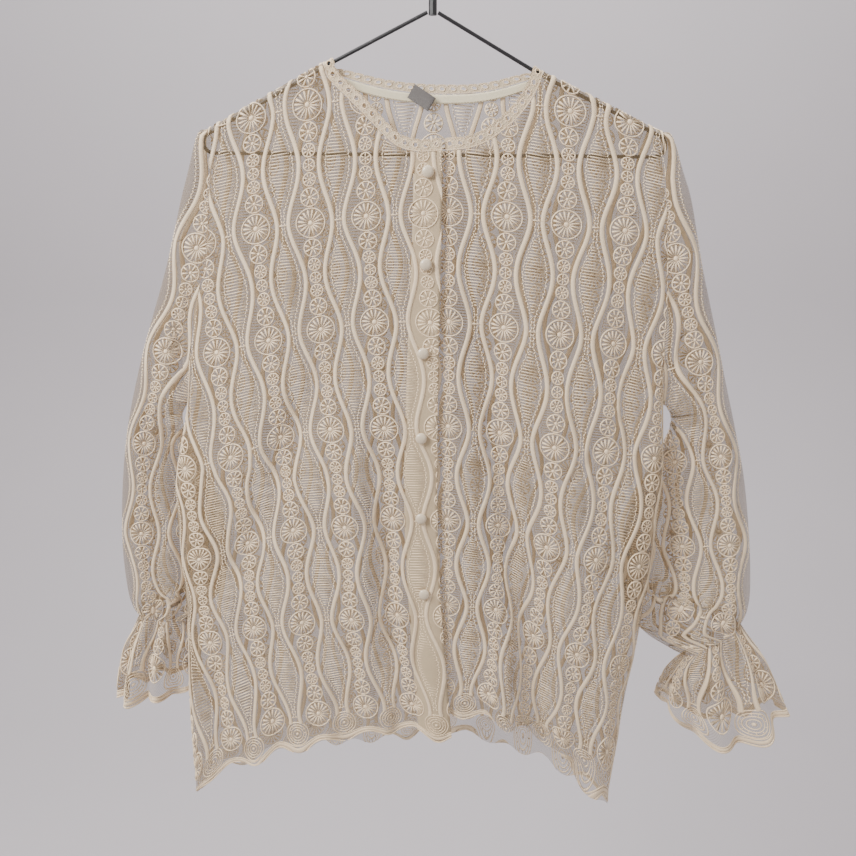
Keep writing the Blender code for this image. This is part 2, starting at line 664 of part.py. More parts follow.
def neck_label(colour):
    """A small plain ribbon label folded over at its far end, sewn to the tape."""
    length, width = LABEL_SIZE
    gap = 1.0
    bm = bmesh.new()
    under = -gap - LABEL_WALL
    back = under - LABEL_WALL
    profile = [(0, 0), (length, 0), (length + 1, 0.5 * back), (length, back), (0, back)]
    profile += [(0, under), (length - 0.8, under), (length - 0.8, -LABEL_WALL), (0, -LABEL_WALL)]
    ring = [bm.verts.new((x - length / 2, y, width / 2)) for x, y in profile]
    face = bm.faces.new(ring)
    made = bmesh.ops.extrude_face_region(bm, geom=[face])
    moved = [v for v in made["geom"] if isinstance(v, bmesh.types.BMVert)]
    bmesh.ops.translate(bm, verts=moved, vec=(0, 0, -width))
    bmesh.ops.recalc_face_normals(bm, faces=bm.faces)
    x, drop = LABEL_PLACE
    depth = float(section_depth(x, drop, 4, BACK_FOLDS, BACK.phase))
    surface = depth - WALL - TAPE_WALL - 3 * SEAM_GAP - 0.6
    bmesh.ops.scale(bm, verts=bm.verts, vec=(MM, MM, MM))
    bmesh.ops.rotate(bm, verts=bm.verts, matrix=Matrix.Rotation(math.radians(LABEL_TURN), 3, "Y"))
    bmesh.ops.translate(bm, verts=bm.verts, vec=world(x, surface, drop))
    return add_object("neck_label", bm, colour)


def button(index, colour):
    """A domed shank button turned about its own axis."""
    drop = FIRST_BUTTON_DROP + BUTTON_PITCH * index
    rows = [FRONT_RIGHT.vertex(1, row, BAND_LIFT) for row in range(GRID_ROWS)]
    x, y = (np.interp(drop, [point[2] for point in rows], [point[i] for point in rows]) for i in (0, 1))
    bm = bmesh.new()
    profile = ((0, 0), (2.2, 0), (2.2, 0.9), (BUTTON_RADIUS - 0.6, 1.2), (BUTTON_RADIUS, 2.0))
    profile += ((BUTTON_RADIUS * 0.82, 3.6), (BUTTON_RADIUS * 0.45, BUTTON_HEIGHT - 0.2), (0, BUTTON_HEIGHT))
    points = [bm.verts.new((radius * MM, 0, height * MM)) for radius, height in profile]
    edges = [bm.edges.new(pair) for pair in zip(points, points[1:])]
    bmesh.ops.spin(
        bm, geom=points + edges, axis=(0, 0, 1), cent=(0, 0, 0), angle=2 * math.pi, steps=12, use_merge=True
    )
    bmesh.ops.remove_doubles(bm, verts=bm.verts, dist=1e-6)
    bmesh.ops.recalc_face_normals(bm, faces=bm.faces)
    bmesh.ops.rotate(bm, verts=bm.verts, matrix=Matrix.Rotation(math.pi / 2, 3, "X"))
    made = add_object(f"button_{index + 1}", bm, colour)
    made.location = world(float(x), float(y) - SEAM_GAP - 0.4, drop)
    return made


def wire(name, points, colour):
    """A round wire along its centreline; a point's third number is its share of the wire's radius."""
    data = bpy.data.curves.new(name, "CURVE")
    data.dimensions = "3D"
    data.bevel_depth = WIRE_RADIUS * MM
    data.bevel_resolution = WIRE_SIDES_RESOLUTION
    data.use_fill_caps = True
    line = data.splines.new("POLY")
    line.points.add(len(points) - 1)
    for target, (x, drop, *size) in zip(line.points, points):
        target.co = (*world(x, 0, drop), 1)
        target.radius = size[0] if size else 1.0
    data.materials.append(colour)
    made = bpy.data.objects.new(name, data)
    bpy.context.scene.collection.objects.link(made)
    return made


def arc_points(centre_x, centre_drop, radius, start, end, steps):
    """Points on an arc in the hanger's plane; angles run from +X towards the drop, in degrees."""
    angles = [math.radians(start + (end - start) * i / steps) for i in range(steps + 1)]
    return [(centre_x + radius * math.cos(a), centre_drop + radius * math.sin(a)) for a in angles]


def hanger(colour):
    """Two arms that turn in at their tips, and the bar between them."""
    inner, outer = {-1: ARM_LINE[1], 1: ARM_LINE[3]}, {-1: ARM_LINE[0], 1: ARM_LINE[4]}
    bar = []
    for name, side, radius in zip(("hanger_arm_right", "hanger_arm_left"), (-1, 1), TIP_RADII):
        (x0, drop0), (x1, drop1) = inner[side], outer[side]
        angle = math.atan2(drop1 - drop0, abs(x1 - x0))
        centre_x, centre_drop = x1 - side * radius * math.sin(angle), drop1 + radius * math.cos(angle)
        turn = arc_points(0, centre_drop, radius, math.degrees(angle) - 90, 90, 12)
        start = NECK_TWIST_RADIUS + 0.45 * WIRE_RADIUS + SEAM_GAP + 0.1
        first = (APEX[0] + side * start, np.interp(APEX[0] + side * start, *zip(*ARM_LINE)))
        path = [first, (x0, drop0), *((centre_x + side * x, drop) for x, drop in turn)]
        end = (centre_x - side * 4, centre_drop + radius)
        wire(name, [*path, end], colour)
        bar.append((end[0] - side * (SEAM_GAP + 0.1), end[1]))
    wire("hanger_bar", bar, colour)
    hanger_hook(colour)


def hanger_hook(colour):
    """The hook turns over the rail, runs down to the middle and ends in the twist that grips the arms."""
    centre_drop = HOOK_RADIUS - HOOK_RISE
    path = arc_points(0, centre_drop, HOOK_RADIUS + WIRE_RADIUS, HOOK_END, HOOK_END - HOOK_SWEEP, 22)
    (x0, drop0), leave = path[-1], math.radians(HOOK_END - HOOK_SWEEP)
    stem_x, stem_drop = APEX[0], APEX[1] - NECK_TWIST_HEIGHT - 12
    pull = 16.0
    for i in range(1, 7):
        s = i / 6
        start, tangent = 2 * s**3 - 3 * s**2 + 1, s**3 - 2 * s**2 + s
        end, arrive = 3 * s**2 - 2 * s**3, s**3 - s**2
        x = start * x0 + tangent * pull * math.sin(leave) + end * stem_x
        drop = start * drop0 - tangent * pull * math.cos(leave) + end * stem_drop + arrive * pull
        path.append((x, drop))
    twist = NECK_TWIST_RADIUS / WIRE_RADIUS
    for drop, size in ((-NECK_TWIST_HEIGHT, 1.0), (1.5 - NECK_TWIST_HEIGHT, twist), (4.5, twist)):
        path.append((stem_x, APEX[1] + drop, size))
    wire("hanger_hook", path, colour)


def main():
    for old in list(bpy.data.objects):
        bpy.data.objects.remove(old)
    colours = {name: material(name) for name in COLOURS}
    hanger(colours["wire"])
    body_panel("front_right", FRONT_RIGHT, colours["lace"])
    body_panel("front_left", FRONT_LEFT, colours["lace"])
    body_panel("back", BACK, colours["lace"])
    sleeve("sleeve_right", RIGHT_SLEEVE, False, colours["lace"])
    sleeve("sleeve_left", LEFT_SLEEVE, True, colours["lace"])
    frill("frill_right", RIGHT_FRILL, colours["lace"])
    frill("frill_left", LEFT_FRILL, colours["lace"])
    button_band(colours["band"])
    neck_trim(colours["trim"])
    neck_tape(colours["tape"])
    neck_label(colours["label"])
    for index in range(BUTTON_COUNT):
        button(index, colours["button"])


main()
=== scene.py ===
"""Sheer embroidered blouse on a black wire hanger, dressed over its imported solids.

Lengths in the tables are millimetres. A drop is a height measured downwards from the hanger's apex. A place
in the cut cloth is u across it and v up from the hem. Each net keeps them in its UV map, in metres, and the
embroidery finds its place on the hung cloth by them.
"""

import json
import math

import bmesh
import bpy
import numpy as np
from bpy.props import FloatProperty, FloatVectorProperty, PointerProperty
from mathutils import Matrix, Vector
from mathutils.bvhtree import BVHTree
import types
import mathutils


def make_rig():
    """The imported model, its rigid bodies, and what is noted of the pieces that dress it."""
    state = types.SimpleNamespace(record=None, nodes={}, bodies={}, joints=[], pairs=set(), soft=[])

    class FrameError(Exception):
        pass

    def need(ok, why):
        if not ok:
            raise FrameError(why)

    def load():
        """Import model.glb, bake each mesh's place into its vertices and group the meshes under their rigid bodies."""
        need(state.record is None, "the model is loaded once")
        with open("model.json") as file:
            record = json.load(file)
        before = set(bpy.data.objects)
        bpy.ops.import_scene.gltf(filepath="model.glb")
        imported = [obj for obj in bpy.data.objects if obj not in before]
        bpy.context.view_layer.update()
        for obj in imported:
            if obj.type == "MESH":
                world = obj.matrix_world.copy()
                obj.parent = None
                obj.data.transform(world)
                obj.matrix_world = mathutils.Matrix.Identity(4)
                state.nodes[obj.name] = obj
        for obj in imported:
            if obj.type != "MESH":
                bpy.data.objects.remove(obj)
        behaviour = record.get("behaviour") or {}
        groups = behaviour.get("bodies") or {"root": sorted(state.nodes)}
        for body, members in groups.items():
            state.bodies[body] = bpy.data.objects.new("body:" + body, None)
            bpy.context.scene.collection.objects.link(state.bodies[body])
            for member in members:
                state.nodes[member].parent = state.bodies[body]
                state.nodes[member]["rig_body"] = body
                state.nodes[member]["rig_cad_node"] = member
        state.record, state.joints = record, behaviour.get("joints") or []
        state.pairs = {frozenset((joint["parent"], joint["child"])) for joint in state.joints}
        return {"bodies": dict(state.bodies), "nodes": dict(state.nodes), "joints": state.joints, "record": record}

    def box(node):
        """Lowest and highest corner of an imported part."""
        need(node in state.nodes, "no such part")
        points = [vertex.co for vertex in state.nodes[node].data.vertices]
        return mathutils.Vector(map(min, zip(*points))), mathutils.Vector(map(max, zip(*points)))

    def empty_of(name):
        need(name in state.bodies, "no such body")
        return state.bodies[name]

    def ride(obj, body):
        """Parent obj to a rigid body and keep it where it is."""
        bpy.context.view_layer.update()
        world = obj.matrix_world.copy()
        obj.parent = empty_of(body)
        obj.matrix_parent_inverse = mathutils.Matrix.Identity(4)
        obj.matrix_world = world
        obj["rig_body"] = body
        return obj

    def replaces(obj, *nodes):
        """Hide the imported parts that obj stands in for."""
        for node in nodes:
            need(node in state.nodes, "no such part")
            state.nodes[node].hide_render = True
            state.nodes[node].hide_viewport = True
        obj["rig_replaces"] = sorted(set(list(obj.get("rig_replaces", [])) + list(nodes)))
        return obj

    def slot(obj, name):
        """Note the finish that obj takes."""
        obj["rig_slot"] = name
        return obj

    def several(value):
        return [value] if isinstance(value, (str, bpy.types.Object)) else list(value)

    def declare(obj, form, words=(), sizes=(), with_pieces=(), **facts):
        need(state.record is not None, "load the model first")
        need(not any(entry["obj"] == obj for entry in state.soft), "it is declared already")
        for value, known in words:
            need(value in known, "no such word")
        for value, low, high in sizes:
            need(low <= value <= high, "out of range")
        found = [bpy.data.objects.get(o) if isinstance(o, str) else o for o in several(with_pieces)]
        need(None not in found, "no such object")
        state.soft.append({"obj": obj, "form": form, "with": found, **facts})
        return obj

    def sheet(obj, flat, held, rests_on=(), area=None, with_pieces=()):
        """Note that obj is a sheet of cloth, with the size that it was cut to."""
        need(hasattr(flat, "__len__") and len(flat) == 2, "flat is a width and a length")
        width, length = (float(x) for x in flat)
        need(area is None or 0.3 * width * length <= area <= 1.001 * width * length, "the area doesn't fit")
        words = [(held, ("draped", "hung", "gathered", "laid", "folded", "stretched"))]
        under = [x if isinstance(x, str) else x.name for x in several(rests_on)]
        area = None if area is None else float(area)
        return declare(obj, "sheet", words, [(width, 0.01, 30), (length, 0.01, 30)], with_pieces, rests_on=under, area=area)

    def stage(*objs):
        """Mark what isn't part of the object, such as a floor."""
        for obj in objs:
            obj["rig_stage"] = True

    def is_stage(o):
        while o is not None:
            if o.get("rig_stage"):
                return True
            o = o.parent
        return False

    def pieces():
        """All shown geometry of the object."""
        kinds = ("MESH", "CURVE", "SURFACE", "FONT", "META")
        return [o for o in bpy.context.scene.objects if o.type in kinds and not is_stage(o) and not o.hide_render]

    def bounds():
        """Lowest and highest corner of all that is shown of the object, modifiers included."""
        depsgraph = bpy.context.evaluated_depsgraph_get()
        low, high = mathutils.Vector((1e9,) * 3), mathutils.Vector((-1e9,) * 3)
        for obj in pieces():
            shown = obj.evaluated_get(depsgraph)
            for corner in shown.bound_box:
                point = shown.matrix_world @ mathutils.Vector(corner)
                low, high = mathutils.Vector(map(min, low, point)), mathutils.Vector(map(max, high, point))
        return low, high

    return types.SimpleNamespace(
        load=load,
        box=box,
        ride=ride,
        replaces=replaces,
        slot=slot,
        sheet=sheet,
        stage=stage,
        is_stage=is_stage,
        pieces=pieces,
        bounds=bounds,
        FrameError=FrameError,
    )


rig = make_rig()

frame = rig.load()
CAD_BOX = [list(corner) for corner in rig.bounds()]

bl_info = {
    "name": "Embroidered blouse on a hanger",
    "version": (1, 0, 0),
    "blender": (4, 5, 0),
    "location": "3D View > Sidebar > Blouse",
    "description": "Makes a sheer embroidered blouse that hangs from a wire hanger",
    "category": "Add Mesh",
}

MM = 0.001

# Hanger
WIRE_RADIUS = 1.6
WIRE_GAP = 0.6
HOOK_RISE = 78.0
# The arms' middle line: x, drop
ARM_LINE = ((-196, 96.5), (-90, 41), (-1, -2), (90, 48.5), (197, 98.6))
APEX = ARM_LINE[2]

# Cloth
WALL = 1.2
SEAM_GAP = 0.3
WRAP_RADIUS = WIRE_RADIUS + WIRE_GAP + WALL
SHOULDER_LIFT = 1.12 * WRAP_RADIUS
NECK_POINTS = (-95.0, 94.0)
UNDERARM_DROP = 336.0
BAND_WIDTH = 25.0
BAND_LIFT = 1.8
UNDERLAP_STEP = 3.4
LOBE_DEPTH = 9.0

# Necklines, between the neck points: x, drop
FRONT_NECK = (
    (-92, 48.5), (-86, 56.5), (-77, 65), (-68.5, 73.5), (-61, 80.5), (-54.5, 87), (-43, 98.5), (-31.5, 107.5),
    (-23, 110.5), (-14, 112), (7, 111), (17, 110.5), (28, 109.5), (38, 107), (48, 102.5), (61, 93.5),
    (73, 83), (82, 72), (88, 61.5), (91, 55),
)
BACK_NECK = (
    (-92, 46.5), (-86, 48.5), (-78, 50.5), (-69, 53), (-52, 57.5), (-26, 62), (9, 64), (46, 61.8),
    (62, 58.5), (74, 55), (86, 52), (91, 50.8),
)
# The first steps of a neckline off the shoulder's top: distance from the neck point, fall
NECK_STEPS = ((0, 0), (0.5, 0.9), (1.2, 3.6))
# A panel's columns by their x at the top edge, outwards from the centre front
FRONT_RIGHT_COLUMNS = (7.5, -5, -17.5, -29, -41, -53, -64, -74, -82, -88, -92, -93.8, -94.5, -95)
FRONT_LEFT_COLUMNS = (-17.5, -5, 7.5, 20, 33, 46, 59, 71, 81, 87.5, 90.5, 92, 92.8, 93.5, 94)
BACK_COLUMNS_X = (-95, -94.5, -93.8, -92, -88, -82, -74, -64, -52, -38, -24, -9, 6, 20, 33, 46, 59, 71)
BACK_COLUMNS_X += (81, 87.5, 91, 92.8, 93.5, 94)
SHOULDER_COLUMNS = (104, 116, 129, 142, 155, 168, 179, 188, 194.5, 198)
RIGHT_SHOULDER = tuple(-x * 196 / 198 for x in SHOULDER_COLUMNS)

# Outline of the body: drop, left edge, right edge, front depth, back depth
BODY_ROWS = (
    (91, -196, 198, 7, 6),
    (110, -194.5, 200.5, 9, 8),
    (150, -197, 204, 13, 11),
    (196, -202, 208, 17, 13),
    (240, -213, 211, 20, 15),
    (287, -223, 212, 23, 17),
    (336, -231, 216, 26, 19),
    (420, -249, 221, 29, 21),
    (490, -250, 217, 30, 22),
    (560, -249, 212, 31, 23),
    (650, -254, 201, 32, 23),
    (765, -256, 190, 33, 24),
)
# Half the opening that the armhole leaves: drop, half depth
ARMHOLE_ROWS = ((91, 0), (110, 4.5), (150, 8.5), (220, 11), (290, 10), (325, 4), (336, 0), (765, 0))

# Centre front line: drop, x
CENTRE_ROWS = ((90, -5), (530, -5), (600, 0), (700, 8))
# Embroidered columns that a panel's cloth is laid by: place in the cloth, then drop and x down the column
RIGHT_COLUMNS = (
    (-158, ((171, -157), (277, -149), (375, -142), (462, -133), (559, -128), (660, -115), (700, -111))),
    (-58, ((171, -59), (300, -50), (443, -39), (553, -35), (660, -20), (700, -17))),
)
LEFT_COLUMNS = (
    (40, ((171, 38), (400, 38), (600, 36), (680, 29))),
    (165, ((171, 169), (277, 164), (375, 162), (480, 157), (570, 145), (680, 134))),
)
BACK_COLUMNS = (
    (-150, ((171, -150), (700, -128))),
    (150, ((171, 150), (700, 120))),
)
# Hem: share of the way across the panel, drop of the lobes' lowest points
RIGHT_HEM = ((0, 688), (0.21, 683), (0.39, 689), (0.58, 702), (0.77, 722), (0.88, 737), (0.96, 762), (1, 781))
LEFT_HEM = ((0, 664), (0.22, 663), (0.47, 680), (0.58, 697), (0.74, 728), (0.84, 758), (1, 790))
BACK_HEM = (
    (0, 781), (0.06, 764), (0.15, 748), (0.3, 735), (0.5, 728), (0.64, 722), (0.75, 738), (0.87, 762),
    (1, 790),
)
# Drops of the rows of big wheels: v, then one drop for each of the columns whose u is listed first
RIGHT_HEIGHTS = (
    (None, -258, -208, -158, -108, -58, -8),
    (37, 692, 665.6, 654, 647.7, 648.7, 650),
    (135, 582.7, 561, 552.5, 549, 549, 545),
    (233, 492, 474, 456, 451.9, 446, 446),
    (331, 400, 385.5, 366, 356, 356, 354.5),
    (429, 300, 286.6, 274.8, 264.3, 257.4, 258),
    (527, 202, 190, 176.4, 171.4, 165.5, 163),
    (625, 106, 95, 84, 73, 68, 66),
)
LEFT_HEIGHTS = (
    (None, 15, 65, 115, 165, 215),
    (37, 627, 633, 672, 689.7, 708),
    (135, 535.2, 539.5, 575, 588.4, 609.9),
    (233, 445.4, 453.6, 474.3, 485.9, 500),
    (331, 353.8, 363, 372.3, 379.3, 389.6),
    (429, 257.6, 262.7, 269, 278.5, 289.7),
    (527, 161.3, 166, 172.8, 178, 190),
    (625, 65, 70, 78.3, 87, 97),
)
BACK_HEIGHTS = (
    (None, -250, 0, 250),
    (37, 735, 691, 735),
    (200, 556, 531, 556),
    (400, 354, 333, 354),
    (600, 156, 134, 156),
)

# Folds: x and drop at the top, x and drop at the bottom, sideways bow, half width, height (troughs below 0)
FRONT_FOLDS = (
    (-94, 270, -205, 540, 0, 17, -8),
    (-80, 290, -70, 600, 0, 18, 6),
    (-57, 310, -30, 760, 0, 13, -10),
    (-150, 420, -125, 760, 0, 20, 6),
    (-214, 560, -232, 800, 0, 9, -7),
    (-190, 600, -180, 800, 0, 14, 5),
    (24, 150, 130, 790, 0, 17, -11),
    (53, 140, 172, 800, 28, 24, 9),
    (166, 190, 196, 430, 0, 15, -8),
    (140, 560, 150, 800, 0, 8, -6),
    (62, 520, 88, 790, 0, 14, 6),
)
BACK_FOLDS = (
    (-120, 200, -160, 800, 0, 20, 7),
    (-60, 260, -85, 800, 0, 18, -7),
    (-10, 160, -5, 800, 0, 22, 6),
    (50, 240, 66, 800, 0, 17, -7),
    (110, 180, 124, 800, 0, 18, 7),
    (160, 330, 158, 800, 0, 12, -6),
    (-190, 420, -212, 800, 0, 14, -6),
)
# Smaller creases that the solids leave out, in the same columns
FINE_FRONT_FOLDS = (
    (-205, 330, -120, 430, 0, 6, -2.2),
    (-214, 345, -150, 500, 0, 6, 2.0),
    (-190, 150, -175, 330, 0, 5, -1.6),
    (-120, 120, -128, 300, 0, 7, 1.6),
    (188, 330, 120, 420, 0, 6, -2.0),
    (200, 345, 150, 520, 0, 7, 2.0),
    (120, 130, 112, 330, 0, 7, -1.6),
    (-100, 560, -96, 790, 0, 6, -2.4),
    (-44, 600, -52, 790, 0, 6, 2.2),
    (20, 560, 30, 790, 0, 7, 2.2),
    (112, 620, 108, 800, 0, 6, -2.2),
    (176, 560, 172, 800, 0, 6, 2.4),
    (-12, 500, -20, 700, 0, 5, -1.4),
)

# Sleeves and frills, from the armhole to the edge. The outer point lies on the top fold, the inner one on
# the underarm seam: outer x, drop, y, inner x, drop, y, half depth, sag of the middle, gather height
RIGHT_SLEEVE = (
    (-196.4, 92.6, 0, -231.6, 337, 0, 11, 0, 0),
    (-205, 96.6, 0.3, -234.5, 341, 1.5, 11, 0, 0.5),
    (-215, 126, 1, -237.5, 346, 3, 13, 0, 0.8),
    (-224, 152.5, 2, -240.5, 351, 5, 15, 0, 0.6),
    (-240, 205, 3, -242.5, 357, 8, 17, 0, 0.5),
    (-260, 260, 4, -244, 365, 12, 18, 0, 0.5),
    (-273.5, 298, 5, -243.5, 378, 18, 19, 0, 0.8),
    (-291, 357, 6, -237, 400, 27, 19, 0, 1.0),
    (-303, 418, 7, -223, 440, 37, 18, 0, 1.4),
    (-310, 482, 8, -215, 492, 42, 18, 4, 2.0),
    (-310, 534, 9, -220, 543, 42, 16, 6, 2.6),
    (-307, 555, 11, -238, 567, 36, 14, 4, 2.2),
    (-302, 566, 12, -256, 579, 28, 12, 0, 1.6),
)
RIGHT_FRILL = (
    (-302, 566.6, 12, -256, 579.6, 28, 12, 0, 1.6),
    (-309, 582, 10, -254, 596, 29, 14, 0, 4),
    (-319, 604, 7, -254, 620, 31, 20, 0, 6),
    (-325, 634, 4, -254, 644, 33, 25, 0, 8),
    (-326, 656, 2, -255, 660, 34, 27, 2, 9.5),
)
LEFT_SLEEVE = (
    (198.4, 95.4, 0, 216.6, 337, 0, 11, 0, 0),
    (207, 98.6, 0.3, 220, 341, 1.5, 11, 0, 0.5),
    (219, 128, 1, 223.5, 345, 3, 13, 0, 0.8),
    (228.5, 152.5, 2, 226.5, 350, 5, 15, 0, 0.6),
    (242, 205, 3, 229, 356, 8, 17, 0, 0.5),
    (261, 269, 4, 231, 365, 12, 18, 0, 0.5),
    (275, 317, 5, 230.5, 379, 19, 19, 0, 0.8),
    (290, 367, 6, 224, 402, 28, 19, 0, 1.0),
    (304, 418, 7, 209, 442, 37, 18, 0, 1.4),
    (316, 483, 8, 198, 500, 42, 18, 6, 2.0),
    (322, 535, 8, 202, 560, 41, 18, 10, 2.6),
    (322, 559, 9, 222, 594, 33, 16, 8, 2.2),
    (320, 569, 11, 247, 609, 25, 14, 4, 2.0),
    (317.5, 577, 12, 268, 619, 20, 12, 0, 1.6),
)
LEFT_FRILL = (
    (317.8, 577.6, 12, 268.3, 619.6, 20, 12, 0, 1.6),
    (327, 590, 10, 260, 629, 22, 15, 6, 4.5),
    (341, 611, 7, 252, 645, 24, 21, 18, 7),
    (359, 648, 4, 248, 664, 26, 27, 32, 9),
    (371, 676, 2, 247, 678, 27, 30, 38, 11),
)
# Creases on a sleeve: turns round it and share of its length at each end, half width in turns, height
SLEEVE_CREASES = (
    (0.40, 0.10, 0.22, 0.34, 0.04, -3.5),
    (0.41, 0.24, 0.24, 0.52, 0.04, 3.5),
    (0.42, 0.36, 0.30, 0.70, 0.04, -4.0),
    (0.14, 0.42, 0.20, 0.95, 0.045, 3.0),
    (0.72, 0.20, 0.78, 0.60, 0.045, -4.0),
    (0.90, 0.35, 0.84, 0.90, 0.045, 4.0),
)
SLEEVE_GATHERS = 9
SECTION_FULLNESS = 0.78
FRILL_WAVES = 8
FRILL_LOBES = 6

# Neck
FRONT_TRIM_WIDTH = 10.5
BACK_TRIM_WIDTH = 7.5
TAPE_WIDTH = 7.5
LABEL_PLACE = (-11.0, 67.0)
LABEL_TURN = 32.0
TAPE_STITCH_PITCH = 2.7

# The neck trim's flat strip, with its eyelets' middles at EYELET_HEIGHT and its upper edge in scallops
EYELET_PITCH = 9.2
EYELET_SIDES = 16
EYELET_RADIUS = 1.75
EYELET_HEIGHT = 5.4
TRIM_HALF = 4.9
TRIM_MIDDLE = 5.0
TRIM_SCALLOP = 0.9
# Small rings between the eyelets: place in half pitches, height, radius
TRIM_RINGS = ((0, 9.0, 0.9), (1, 10.2, 0.9), (0, 1.6, 0.7), (0.5, 9.7, 0.7), (1.5, 9.7, 0.7))

# A button's outline: radius, height
BUTTON_PROFILE = (
    (0, 0), (2.2, 0), (2.2, 0.9), (4.6, 1.2), (5.2, 1.6), (5.35, 2.2), (5.1, 2.9), (4.4, 3.6), (3.3, 4.15),
    (1.8, 4.5), (0, 4.6),
)

# Embroidery in the flat cut: one repeat, and the height of the lowest big wheels over the lobes
REPEAT_WIDTH = 50.0
REPEAT_HEIGHT = 98.0
WHEEL_RISE = 37.0
WHEEL_SPOKES = 16
# Small wheels over a big one: share of the repeat's height, radius, spokes
SMALL_WHEELS = ((0.2245, 8.6, 8), (0.3776, 6.2, 8), (0.5, 5.6, 6), (0.6224, 6.2, 8), (0.7755, 8.6, 8))
RUNG_PITCH = 2.65
CHAIN_PITCH = 2.55
CORD_SIDES = 6
STITCH_SIDES = 3
# The rosette in each lobe: fall below the big wheels, then radius and width of its rings
ROSETTE_FALL = 17.0
ROSETTE_RINGS = ((12.0, 1.2), (9.4, 1.0), (6.8, 1.0), (4.2, 1.0))
# Cords along the scalloped edge: inset, half width, height
BORDER_CORDS = ((1.0, 0.9, 1.0), (4.3, 1.7, 0.7), (7.3, 0.5, 0.6))

# Grid sizes: how finely each step between the solids' columns and rows is cut
COLUMN_CUTS = 5
ROW_CUTS = 9
TOP_DEPTHS = (0, 0.3, 0.9, 1.8, 3.6, 6, 11, 16, 21, 26, 32, 38, 44, 50)
SOLID_TOP_DEPTHS = (0, 0.9, 3.6, 11, 26, 50)
SOLID_BODY_ROWS = 15


def spline(rows, at, column=1):
    """A smooth curve through a table's rows: the first column is the key, and the ends are held."""
    table = np.array([(row[0], row[column]) for row in rows], float)
    keys, values = table[:, 0], table[:, 1]
    slopes = np.gradient(values, keys)
    at = np.clip(at, keys[0], keys[-1])
    i = np.clip(np.searchsorted(keys, at) - 1, 0, len(keys) - 2)
    width = keys[i + 1] - keys[i]
    s = (at - keys[i]) / width
    first = (2 * s**3 - 3 * s**2 + 1) * values[i] + (s**3 - 2 * s**2 + s) * width * slopes[i]
    second = (3 * s**2 - 2 * s**3) * values[i + 1] + (s**3 - s**2) * width * slopes[i + 1]
    return first + second


def ease(value):
    """0 below 0, 1 above 1, and a smooth step between."""
    value = np.clip(value, 0, 1)
    return value * value * (3 - 2 * value)


def shoulder_drop(x):
    """The shoulder seam lies along the top of the arms."""
    return np.interp(x, *zip(*ARM_LINE)) - SHOULDER_LIFT


def neckline_drop(x, rows):
    """Drop of a panel's top edge: the neckline between the neck points, the shoulder seam outside them."""
    inside = np.minimum(x - NECK_POINTS[0], NECK_POINTS[1] - x)
    last_step, last_fall = NECK_STEPS[-1]
    left, right = NECK_POINTS[0] + last_step, NECK_POINTS[1] - last_step
    ends = ((left, shoulder_drop(left) + last_fall), (right, shoulder_drop(right) + last_fall))
    near = shoulder_drop(x) + np.interp(inside, *zip(*NECK_STEPS))
    return np.where(inside <= last_step, near, spline((ends[0], *rows, ends[1]), x))


def fold_height(folds, x, drop):
    """The sum of the table's soft ridges and troughs at a point."""
    total = np.zeros(np.broadcast(x, drop).shape)
    for x0, drop0, x1, drop1, bow, half_width, height in folds:
        share = np.clip((drop - drop0) / (drop1 - drop0), 0, 1)
        line = x0 + (x1 - x0) * share + bow * np.sin(math.pi * share)
        fade = ease(share / 0.35) * ease((1 - share) / 0.2)
        total = total + height * fade * np.exp(-(((x - line) / half_width) ** 2))
    return total


def hem_ripple(x, drop, phase):
    """Small uneven waves that grow towards the hem."""
    growth = ease((drop - 420) / 320)
    return growth * (2.2 * np.sin(x / 9.5 + phase) + 1.4 * np.sin(x / 5.6 + 2.1 * phase))


def edge_x(x_right_side, drop):
    """The body's outline on the viewer's right (True) or left."""
    return spline(BODY_ROWS, drop, 2 if x_right_side else 1)


def section_depth(x, drop, depth_column, folds, phase):
    """How far a body panel's outer surface stands from the hanger's plane."""
    left, right = edge_x(False, drop), edge_x(True, drop)
    side = np.clip(np.where(x < 0, x / left, x / right), 0, 1)
    flat = 1 - side**4
    rounded = (1 - side**3) ** (1 / 3)
    crown = flat + (rounded - flat) * ease((drop - 265) / 75)
    below_seam = drop - shoulder_drop(x)
    arc = np.sqrt(np.clip(WRAP_RADIUS**2 - np.clip(WRAP_RADIUS - below_seam, 0, None) ** 2, 0, None))
    open_edge = np.interp(drop, *zip(*ARMHOLE_ROWS))
    full = open_edge + (spline(BODY_ROWS, drop, depth_column) - open_edge) * crown
    waves = (fold_height(folds, x, drop) + hem_ripple(x, drop, phase)) * ease(below_seam / 120) * crown
    hung = ease(below_seam / 80) * (full - WRAP_RADIUS) + np.maximum(waves, -0.6 * full)
    return SEAM_GAP / 2 + arc + hung


def hem_notch(u, rosette_u):
    """How far the scalloped edge stands above the lobes' lowest points."""
    return LOBE_DEPTH * 0.5 * (1 - np.cos(2 * math.pi * (u - rosette_u) / REPEAT_WIDTH))


def world(x, y, drop):
    """Table numbers as a point, or an array of them, in metres."""
    return np.stack(np.broadcast_arrays(x, y, -HOOK_RISE - np.asarray(drop, float)), axis=-1) * MM


